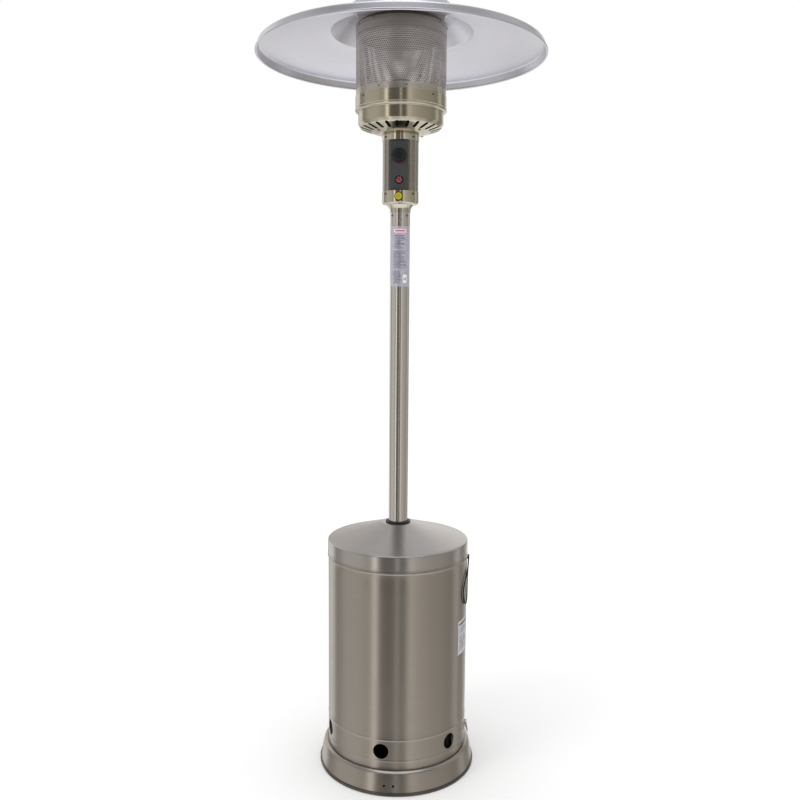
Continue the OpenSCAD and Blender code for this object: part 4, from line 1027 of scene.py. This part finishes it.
def makeLatch():
    # A spring-steel clip: a curved back plate with two ears, and a bent lever on a pin.
    r, z = housing["radius"], latch["pinHeight"]
    width, thick, low, high = latch["plate"]
    half = math.degrees(width / 2 / r)
    a = np.radians(latch["azimuth"] + np.linspace(-half, half, 9))
    outline = np.vstack([np.stack([(r + 0.00005) * np.sin(a), -(r + 0.00005) * np.cos(a)], 1),
                         np.stack([(r + thick) * np.sin(a), -(r + thick) * np.cos(a)], 1)[::-1]])
    back = slabPiece("latchBack", outline, low, high, edge=latch["edge"])
    place = sidewise(latch["azimuth"], r)
    reach = latch["pinOut"]
    ear = np.vstack([[(0.0008, z - 0.004)], arcOf((reach, z), 0.0029, -70, 90, 8), [(0.0008, z + 0.004)]])
    for side in (-1, 1):
        middle = side * (latch["width"] / 2 + 0.001)
        lug = slabPiece("latchEar", ear, middle - 0.0007, middle + 0.0007, place, edge=0.0002)
        back = joinPieces(back, lug)
    dress(back, "clipSteel", "housing", "bright_clip", "latch_plate")
    back.name = "latchBack"
    lever = np.vstack([arcOf((reach, z), latch["hub"], 180, 0, 10), np.array(latch["lever"]) + (0, z)])
    piece = slabPiece("latchLever", lever, -latch["width"] / 2, latch["width"] / 2, place,
                      edge=latch["edge"])
    dress(piece, "clipSteel", "latch", "bright_clip", "latch_lever")


def makeAnchor():
    # The moulded block that both ends of the cord go into.
    a = np.radians(anchor["azimuth"] + np.linspace(-anchor["half"], anchor["half"], 7))
    near, far = housing["radius"] + 0.00005, housing["radius"] + anchor["depth"]
    outline = np.vstack([np.stack([near * np.sin(a), -near * np.cos(a)], 1),
                         np.stack([far * np.sin(a), -far * np.cos(a)], 1)[::-1]])
    block = slabPiece("loopAnchor", outline, anchor["low"], anchor["high"], edge=anchor["edge"])
    dress(block, "blackPlastic", "housing", "black_plastic", "loop_anchor")


makeLatch()
makeAnchor()
print("latch and anchor made")

# post and control housing
post = {"radius": 0.0283, "wall": 0.0015, "low": 0.6363, "high": 1.6373}
control = {
    "collar": 0.0523, "collarSheet": 0.0012, "collarLow": 1.6588, "boxLow": 1.6943, "boxHigh": 1.8333,
    "top": 1.8533, "box": 0.0510, "flat": 0.0410, "sheet": 0.0012, "lap": 0.012, "corner": 0.0022,
    "panelWidth": 0.050, "panel": 0.0016, "panelCorner": 0.003,
    "knobHeight": 1.7893, "igniterHeight": 1.7238, "plugHeight": 1.6778,
}


def makePost():
    # A drawn tube with broken edges.
    r, inner, bend = post["radius"], post["radius"] - post["wall"], 0.0004
    outline = [(inner, post["low"]), (r, post["low"]), (r, post["high"]), (inner, post["high"])]
    path = np.vstack([outline[:2], roundedPath([outline[1], outline[2], outline[3]], [bend], 4)[1:-1],
                      outline[3:]])
    dress(turned("post", path, sides=160), "postSteel", "stand", "polished_steel", "post")


def makeNeck():
    # A turned flare from the post up to the lower collar.
    r, top, foot = 0.0296, control["collarLow"], post["high"]
    flare = roundedPath([(r, foot), (r, foot + 0.009), (r + 0.009, top - 0.001), (r + 0.012, top)],
                        [0.014, 0.003], 14)
    inside = [(0.0248, top), (0.0248, foot - 0.036), (0.02675, foot - 0.036), (0.02675, foot)]
    dress(turned("neck", np.vstack([flare, inside]), sides=160), "nickel", "stand", "nickel_plate", "neck")


def makeCollars():
    # The lower one is a cup with a rounded bottom edge, the upper one a plain ring; their lips are rounded.
    r, t, low, high = control["collar"], control["collarSheet"], control["collarLow"], control["boxLow"]
    cup = walled(roundedPath([(0.0248, low), (r, low), (r, high)], [0.007], 12), t)
    dress(turned("lowerCollar", cup, sides=192), "nickel", "stand", "nickel_plate", "lower_collar")
    foot, top, lip = control["boxHigh"], control["top"], 0.0005
    ring = roundedPath([(r - t, (foot + top) / 2), (r - t, foot), (r, foot), (r, top), (r - t, top),
                        (r - t, (foot + top) / 2)], [lip, lip, lip, lip], 3)[:-1]
    dress(turned("upperCollar", ring, sides=192), "nickel", "stand", "nickel_plate", "upper_collar")


def dOutline(radius, flat, corner, steps):
    # A circle cut straight across the front, with rounded corners, counted round from the right corner.
    half = math.sqrt(radius ** 2 - flat ** 2)
    limit = math.degrees(math.atan2(-flat, half))
    circle = arcOf((0, 0), radius, limit + 6, 180 - limit - 6, steps)
    right = roundedPath([(0, -flat), (half, -flat), tuple(circle[0])], [corner], 6)[1:-1]
    left = right[::-1] * (-1, 1)
    return np.vstack([right, circle, left])


def makeControlBox():
    # A tube of D section: outer outline, inner outline, and both ends.
    low, high = control["boxLow"] - control["lap"], control["boxHigh"] + control["lap"]
    outer = dOutline(control["box"], control["flat"], control["corner"], 120)
    inner = dOutline(control["box"] - control["sheet"], control["flat"] - control["sheet"], 0.001, 120)
    heights = np.linspace(low, high, 5)
    rings = [np.column_stack([outer, np.full(len(outer), z)]) for z in heights]
    rings += [np.column_stack([inner, np.full(len(inner), z)]) for z in heights[::-1]]
    box = newPiece("controlBox", np.vstack(rings), gridFaces(len(rings), len(outer), True, True))
    dress(box, "boxSteel", "stand", "brushed_steel", "control_box")


def frontPlace(depth, height):
    # Lays a flat shape on the front: its x runs right, its y up, and its z towards the user.
    return lambda points: outwards(points, 0, depth, height)


def roundedRectangle(width, height, radius, steps=6):
    x, y = width / 2 - radius, height / 2 - radius
    corners = ((x, -y, -90), (x, y, 0), (-x, y, 90), (-x, -y, 180))
    return np.vstack([arcOf((cx, cy), radius, start, start + 90, steps) for cx, cy, start in corners])


def makePanel():
    # The moulded front plate, and the marks printed on it: an arc that grows with the heat, and ticks.
    low, high = control["boxLow"] + 0.0002, control["boxHigh"] - 0.0002
    middle, face = (low + high) / 2, control["flat"] + control["panel"]
    plate = slabPiece("controlPanel",
                      roundedRectangle(control["panelWidth"], high - low, control["panelCorner"]),
                      0, control["panel"], frontPlace(control["flat"], middle), edge=0.0006, segments=4)
    dress(plate, "panelPlastic", "stand", "black_plastic", "control_panel")
    knob = control["knobHeight"]
    turn = np.linspace(232, 300, 41)
    width = np.interp(turn, (232, 300), (0.0010, 0.0030))
    unit = np.stack([np.cos(np.radians(turn)), np.sin(np.radians(turn))], 1)
    arc = np.vstack([unit * (0.0232 - width / 2)[:, None], (unit * (0.0232 + width / 2)[:, None])[::-1]])
    wedge = slabStrip("heatArc", arc, 0.00012, frontPlace(face, knob))
    dress(wedge, "redPrint", "stand", "red_plastic")
    ticks = []
    for angle in (90, 210, 330):
        way = np.array([math.cos(math.radians(angle)), math.sin(math.radians(angle))])
        across = np.array([-way[1], way[0]]) * 0.0004
        bar = np.stack([way * 0.0217 - across, way * 0.0238 - across, way * 0.0238 + across,
                        way * 0.0217 + across])
        ticks.append(slabPiece("tick", bar, 0, 0.00012, frontPlace(face, knob)))
    ring = arcOf((0, 0), 0.0146, 35, 145, 32)
    inner = arcOf((0, 0), 0.0141, 35, 145, 32)
    ticks.append(slabStrip("tick", np.vstack([inner, ring[::-1]]), 0.00012,
                           frontPlace(face, control["igniterHeight"])))
    marks = joinPieces(*ticks)
    marks.name = "panelMarks"
    dress(marks, "whitePrint", "stand", "white_plastic")


def slabStrip(name, outline, height, place):
    # A thin strip between two lines of equal length; the second half of the outline runs backwards.
    count = len(outline) // 2
    first, second = outline[:count], outline[count:][::-1]
    rows = [np.column_stack([line, np.full(count, z)]) for line, z in
            ((first, 0), (second, 0), (second, height), (first, height))]
    points = place(np.vstack(rows))
    faces = gridFaces(4, count, True, False)
    ends = np.array([[k * count for k in range(4)], [k * count + count - 1 for k in (3, 2, 1, 0)]])
    return facingOut(newPiece(name, points, np.vstack([faces, ends]), 60))


def facingOut(piece):
    # Turns a closed mesh's faces outwards.
    work = bmesh.new()
    work.from_mesh(piece.data)
    bmesh.ops.recalc_face_normals(work, faces=work.faces)
    work.to_mesh(piece.data)
    work.free()
    return piece


knobShape = {"radius": 0.0205, "length": 0.016, "back": 0.0468, "flutes": 18, "depth": 0.0010, "bore": 0.003}


def makeKnob():
    # r(u, a) = profile(u) - depth w(u) ((1 + cos n a) / 2)^1.6: flutes fade in above the skirt.
    skirt, top, n = knobShape["radius"], knobShape["length"], knobShape["flutes"]
    profile = roundedPath([(0.003, 0.0), (skirt, 0), (skirt, 0.0040), (skirt - 0.0032, 0.0048),
                           (skirt - 0.0042, top), (0.0128, top), (0.0108, top - 0.0012),
                           (0.0, top - 0.0012)],
                          [0.0008, 0.0009, 0.0006, 0.0020, 0.0008, 0.0012], 5)
    bore = np.array([[0.0, 0.009], [0.003, 0.009]])
    outline = np.vstack([profile, bore])
    r, z = outline.T
    a = fullTurn(n * 12)[None, :]
    fade = np.clip((z - 0.0048) / 0.0020, 0, 1) * (r > 0.0135)
    fade = (fade * fade * (3 - 2 * fade))[:, None]
    radius = r[:, None] - knobShape["depth"] * fade * ((1 + np.cos(n * a)) / 2) ** 1.6
    points = around(radius, a, z[:, None]).reshape(-1, 3)
    faces = gridFaces(len(r), n * 12, True, True)
    body = weld(newPiece("knob", outwards(points, 0, knobShape["back"], control["knobHeight"]), faces))
    place = frontPlace(knobShape["back"], control["knobHeight"])
    rib = slabPiece("knobRib", roundedRectangle(0.0046, 0.0300, 0.0022, 8) + (0, 0.0004), top - 0.0030,
                    top + 0.0009, place, edge=0.0007)
    dress(joinPieces(body, rib), "blackPlastic", "knob", "black_plastic", "knob")


def makeIgniter():
    # A bezel with a notched foot, and a domed button that stands in it.
    face, z = control["flat"] + control["panel"], control["igniterHeight"]
    outline = roundedPath([(0.0085, 0.0), (0.0115, 0), (0.0115, 0.0024), (0.0099, 0.0046),
                           (0.0076, 0.0046), (0.0076, 0.0026), (0.0085, 0.0026), (0.0085, 0.0)],
                          [0.0003, 0.0008, 0.0007, 0.0005, 0, 0], 5)[:-1]
    r, h = outline.T
    a = fullTurn(144)[None, :]
    notch = (np.clip((0.0026 - h) / 0.0008, 0, 1) * (r > 0.0105))[:, None]
    radius = r[:, None] - 0.0007 * notch * np.clip(np.cos(12 * a), 0, 1) ** 2
    points = around(radius, a, h[:, None]).reshape(-1, 3)
    bezel = newPiece("igniterBezel", outwards(points, 0, face + 0.00005, z),
                     gridFaces(len(r), 144, True, True))
    dress(facingOut(bezel), "blackPlastic", "stand", "black_plastic", "igniter_bezel")
    foot = control["flat"] - 0.008
    outline = roundedPath([(0, 0), (0.0062, 0), (0.0062, 0.0195), (0, 0.0200)], [0.0003, 0.0026], 8)
    points, faces = turnedShape(outline, 96)
    button = weld(newPiece("igniterButton", outwards(points, 0, foot, z), faces))
    dress(facingOut(button), "redPlastic", "igniter_button", "red_plastic", "igniter_button")


def makePlug():
    # A blanking plug: a rounded ring, a sunk middle and a raised cross; round it, a black ring of painted
    # shadow.
    r, z = 0.0098, control["plugHeight"]
    outline = roundedPath([(0.006, -0.0052), (0.006, 0.0), (r, 0), (r, 0.0026), (r - 0.0014, 0.0048),
                           (r - 0.0034, 0.0048), (r - 0.0044, 0.0028), (0, 0.0028), (0, -0.0052)],
                          [0, 0.0003, 0.0012, 0.0010, 0.0009, 0.0010, 0], 6)[:-1]
    points, faces = turnedShape(outline, 96)
    ring = facingOut(weld(newPiece("yellowPlug", outwards(points, 0, control["collar"], z), faces)))
    place = frontPlace(control["collar"], z)
    bars = [slabPiece("bar", roundedRectangle(*size, 0.0005, 3), 0.0020, 0.0038, place, edge=0.0003)
            for size in ((0.0092, 0.0018), (0.0018, 0.0092))]
    dress(joinPieces(ring, *bars), "yellowPlastic", "stand", "yellow_plastic", "yellow_plug")
    # Painted shadow: a thin black ring round the plug stands for the shade round its edge.
    outline = roundedPath([(0.0085, 0), (0.0120, 0), (0.0120, 0.0014), (0.0085, 0.0014), (0.0085, 0)],
                          [0.0001, 0.0006, 0], 4)[:-1]
    points, faces = turnedShape(outline, 96)
    shadowRing = facingOut(newPiece("plugShadowRing", outwards(points, 0, control["collar"], z), faces))
    dress(shadowRing, "blackPlastic", "stand", "black_plastic")


makePost()
makeNeck()
makeCollars()
makeControlBox()
makePanel()
makeKnob()
makeIgniter()
makePlug()
print("post and control housing made")

# burner head, emitter and baffle
head = {
    "foot": 1.8533, "sheet": 0.0012, "bowl": 0.1205, "sideLow": 1.8753, "sideTop": 1.9113,
    "slots": 24, "slotHalf": 0.0051, "slotFrom": 0.0880, "slotTo": 0.1102, "columns": 360, "window": 6,
    "band": 0.1286, "bandTop": 1.9533,
}
emitter = {
    "radius": 0.127, "sheet": 0.0008, "low": 1.9393, "holesLow": 1.9710, "holesHigh": 2.1160, "high": 2.1413,
    "around": 128, "rows": 27, "hole": 0.00195, "halves": 2,
    "capTop": 2.1513, "capSide": 0.016, "capSheet": 0.00075, "capCorner": 0.009, "capDome": 0.0012,
}
baffle = {"low": 2.1525, "foot": 0.113, "rim": 0.132, "rimHeight": 2.1895, "sheet": 0.001}


def makeBowl():
    # A pressed dish with radial air slots in its sloping floor.
    low, r = head["foot"], head["bowl"]
    path = roundedPath([(0.0463, low), (0.0643, low + 0.001), (r - 0.006, head["sideLow"] - 0.005),
                        (r, head["sideLow"] + 0.006), (r, head["sideTop"])], [0.016, 0.008, 0.004], 12)
    along = np.concatenate([[0], np.cumsum(np.linalg.norm(np.diff(path, axis=0), axis=1))])
    inner, outer = np.interp((head["slotFrom"], head["slotTo"]), path[:, 0], along)
    inWindow = np.linspace(inner - 0.0095, outer + 0.0072, 13)
    rest = along[(along < inWindow[0] - 0.0004) | (along > inWindow[-1] + 0.0004)]
    fill = np.linspace(0, inWindow[0], 10)[1:-1]
    rows = np.unique(np.concatenate([rest, inWindow, fill]))
    rows = rows[np.append(np.diff(rows) > 1e-5, True)]
    first = int(np.argmin(abs(rows - inWindow[0])))
    half, step = head["window"], head["columns"] // head["slots"]
    angles = np.radians(-half) + fullTurn(head["columns"])
    holes = [{"angle": 2 * math.pi * i / head["slots"], "at": (inner + outer) / 2,
              "radius": head["slotHalf"], "core": (outer - inner) / 2, "rings": 4,
              "columns": (i * step, i * step + 2 * half), "rows": (first, first + 12)}
             for i in range(head["slots"])]
    bowl = sheetWithHoles("burnerBowl", path, angles, rows, holes, head["sheet"])
    dress(bowl, "bowlNickel", "stand", "nickel_plate", "burner_bowl")


def makeHeadBand():
    # The wider band over the bowl: a swaged rib at its foot, then a plain cylinder.
    r, low, top = head["band"], head["sideTop"], head["bandTop"]
    path = roundedPath([(head["bowl"] + 0.0013, low - 0.002), (head["bowl"] + 0.0018, low + 0.0005),
                        (r - 0.001, low + 0.003), (r + 0.0009, low + 0.0055), (r + 0.0009, low + 0.0085),
                        (r - 0.0006, low + 0.011), (r, low + 0.0135), (r, top)],
                       [0.0015, 0.0015, 0.0015, 0.002, 0.002, 0.003, 0.004], 6)
    dress(turned("headBand", walled(path, head["sheet"]), sides=240), "bowlNickel", "stand", "nickel_plate",
          "head_band")


def makeEmitterHalf(index):
    # Six-sided cells with a round hole each, laid on the cylinder: P(u, v) = (r sin u/r, -r cos u/r, v).
    count, rows = emitter["around"] // emitter["halves"], emitter["rows"]
    pitch = 2 * math.pi * emitter["radius"] / emitter["around"]
    rise = (emitter["holesHigh"] - emitter["holesLow"]) / (rows - 0.333)
    stretch = rise / (pitch * math.sqrt(3) / 2)
    turn = np.radians(np.arange(12) * 30)
    reach = np.where(np.arange(12) % 2 == 1, pitch / math.sqrt(3), pitch / 2)
    frame = np.stack([np.cos(turn), np.sin(turn) * stretch], 1) * reach[:, None]
    edge = np.stack([np.cos(turn), np.sin(turn)], 1) * emitter["hole"]
    column, row = np.meshgrid(np.arange(count) + index * count, np.arange(rows))
    centre = np.stack([(column + 0.5 * (row % 2)) * pitch,
                       emitter["holesLow"] + (row + 0.333) * rise], -1).reshape(-1, 1, 2)
    flat = np.concatenate([centre + edge, centre + frame], 1)
    k = np.arange(12)
    cell = np.stack([k, k + 12, (k + 1) % 12 + 12, (k + 1) % 12], 1)
    faces = (cell[None] + 24 * np.arange(len(flat))[:, None, None]).reshape(-1, 4)
    shapes = [(flat.reshape(-1, 2), faces)]
    hemColumns = np.arange(count) + index * count
    for limit, at, corners, shift in ((emitter["low"], 0, (7, 8, 9, 10, 11), 0.333),
                                      (emitter["high"], rows - 1, (5, 4, 3, 2, 1), rows - 1 + 0.333)):
        middle = np.stack([(hemColumns + 0.5 * (at % 2)) * pitch,
                           np.full(count, emitter["holesLow"] + shift * rise)], -1)
        near = middle[:, None] + frame[list(corners)]
        far = np.stack([near[..., 0], np.full(near.shape[:2], limit)], -1)
        strip = np.stack([far, near], 1).reshape(-1, 2)
        quad = np.stack([np.arange(4), np.arange(4) + 1, np.arange(4) + 6, np.arange(4) + 5], 1)
        if at:
            quad = quad[:, ::-1]
        shapes.append((strip, (quad[None] + 10 * np.arange(count)[:, None, None]).reshape(-1, 4)))
    points, faces = together(*shapes)
    placed = around(emitter["radius"], points[:, 0] / emitter["radius"], points[:, 1])
    half = weld(newPiece("emitterScreen" + "AB"[index], placed, faces), 2e-6)
    wall = half.modifiers.new("wall", "SOLIDIFY")
    wall.thickness = emitter["sheet"]
    wall.offset = -1
    return dress(settle(half, 40), "screenSteel", "stand", "heat_steel", "emitter_screen")


def makeEmitterCap():
    # A shallow lid: band, rounded corner and a slightly domed top.
    r, top = emitter["radius"] + 0.0008, emitter["capTop"]
    path = roundedPath([(r, top - emitter["capSide"]), (r, top), (0, top + emitter["capDome"])],
                       [emitter["capCorner"]], 14)
    dress(turned("emitterCap", walled(path, emitter["capSheet"]), sides=240), "capSteel", "stand",
          "heat_steel", "emitter_cap")


def makeBaffle():
    # A flared dish under the reflector, its mouth turned outwards; its dark colour is painted shade.
    low, foot, rim, top = baffle["low"], baffle["foot"], baffle["rim"], baffle["rimHeight"]
    path = roundedPath([(0, low), (foot, low), (rim - 0.006, top - 0.004), (rim, top)], [0.006, 0.005], 10)
    dress(turned("baffle", walled(path, baffle["sheet"]), sides=240), "baffleSteel", "stand", "heat_steel",
          "baffle")


makeBowl()
makeHeadBand()
for index in range(emitter["halves"]):
    makeEmitterHalf(index)
makeEmitterCap()
makeBaffle()
print("burner head and emitter made")

# reflector
reflector = {
    "radius": 0.4065, "rim": 2.0630, "fold": 0.3965, "foldHeight": 2.0860, "crease": 0.199,
    "creaseHeight": 2.1280, "crown": 0.140, "crownHeight": 2.1975, "bead": 0.003, "sheet": 0.001,
    "sides": 320,
}


def makeReflector():
    # A spun dish: rolled edge, outer skirt, long shallow slope, crease and raised crown.
    r, rim, bead = reflector["radius"], reflector["rim"], reflector["bead"]
    fold, crease, crown = reflector["fold"], reflector["crease"], reflector["crown"]
    foldHeight, creaseHeight, top = (reflector[k] for k in ("foldHeight", "creaseHeight", "crownHeight"))
    midway = ((fold + crease) / 2, (foldHeight + creaseHeight) / 2 + 0.005)
    path = roundedPath([(r - 0.0022, rim + 0.002), (fold, foldHeight), midway, (crease, creaseHeight),
                        (crown + 0.018, top - 0.024), (crown, top), (0, top + 0.0005)],
                       [0.008, 0.900, 0.012, 0.060, 0.014], 14)
    roll = arcOf((r - bead, rim + bead), bead, 0, 360, 24)[:-1]
    dish = turned("reflector", walled(path, -reflector["sheet"]), roll, sides=reflector["sides"])
    dress(dish, "reflectorMetal", "stand", "reflector_aluminium", "reflector")


makeReflector()
print("reflector made")

# finishes of the CAD nodes that show as they are
nodeFinishes = {
    "blackPaint": ["strut_right", "strut_rear", "strut_left", "post_flange"],
    "zinc": ["strut_bolts", "flange_bolts", "studs", "stud_washers", "wing_nuts", "spacers", "latch_pin"],
    "screwSteel": ["post_screws", "collar_screws", "bowl_screws", "head_screws", "emitter_screws"],
    "burnerSteel": ["gas_pipe", "mixer_tube", "pilot_tube", "pilot_burner", "burner_plate", "burner_dome",
                    "valve_stem"],
    "brassStock": ["gas_inlet", "gas_valve", "valve_bush"],
    "brownPlastic": ["tilt_switch"],
    "whitePlastic": ["igniter_body"],
    "redSleeve": ["igniter_lead"],
    "glaze": ["electrode"],
    "copperTube": ["thermocouple"],
}
for finishName, names in nodeFinishes.items():
    for nodeName in names:
        mesh = nodes[nodeName].data
        mesh.materials.clear()
        mesh.materials.append(finishes[finishName])
print("CAD nodes finished:", sum(len(names) for names in nodeFinishes.values()))
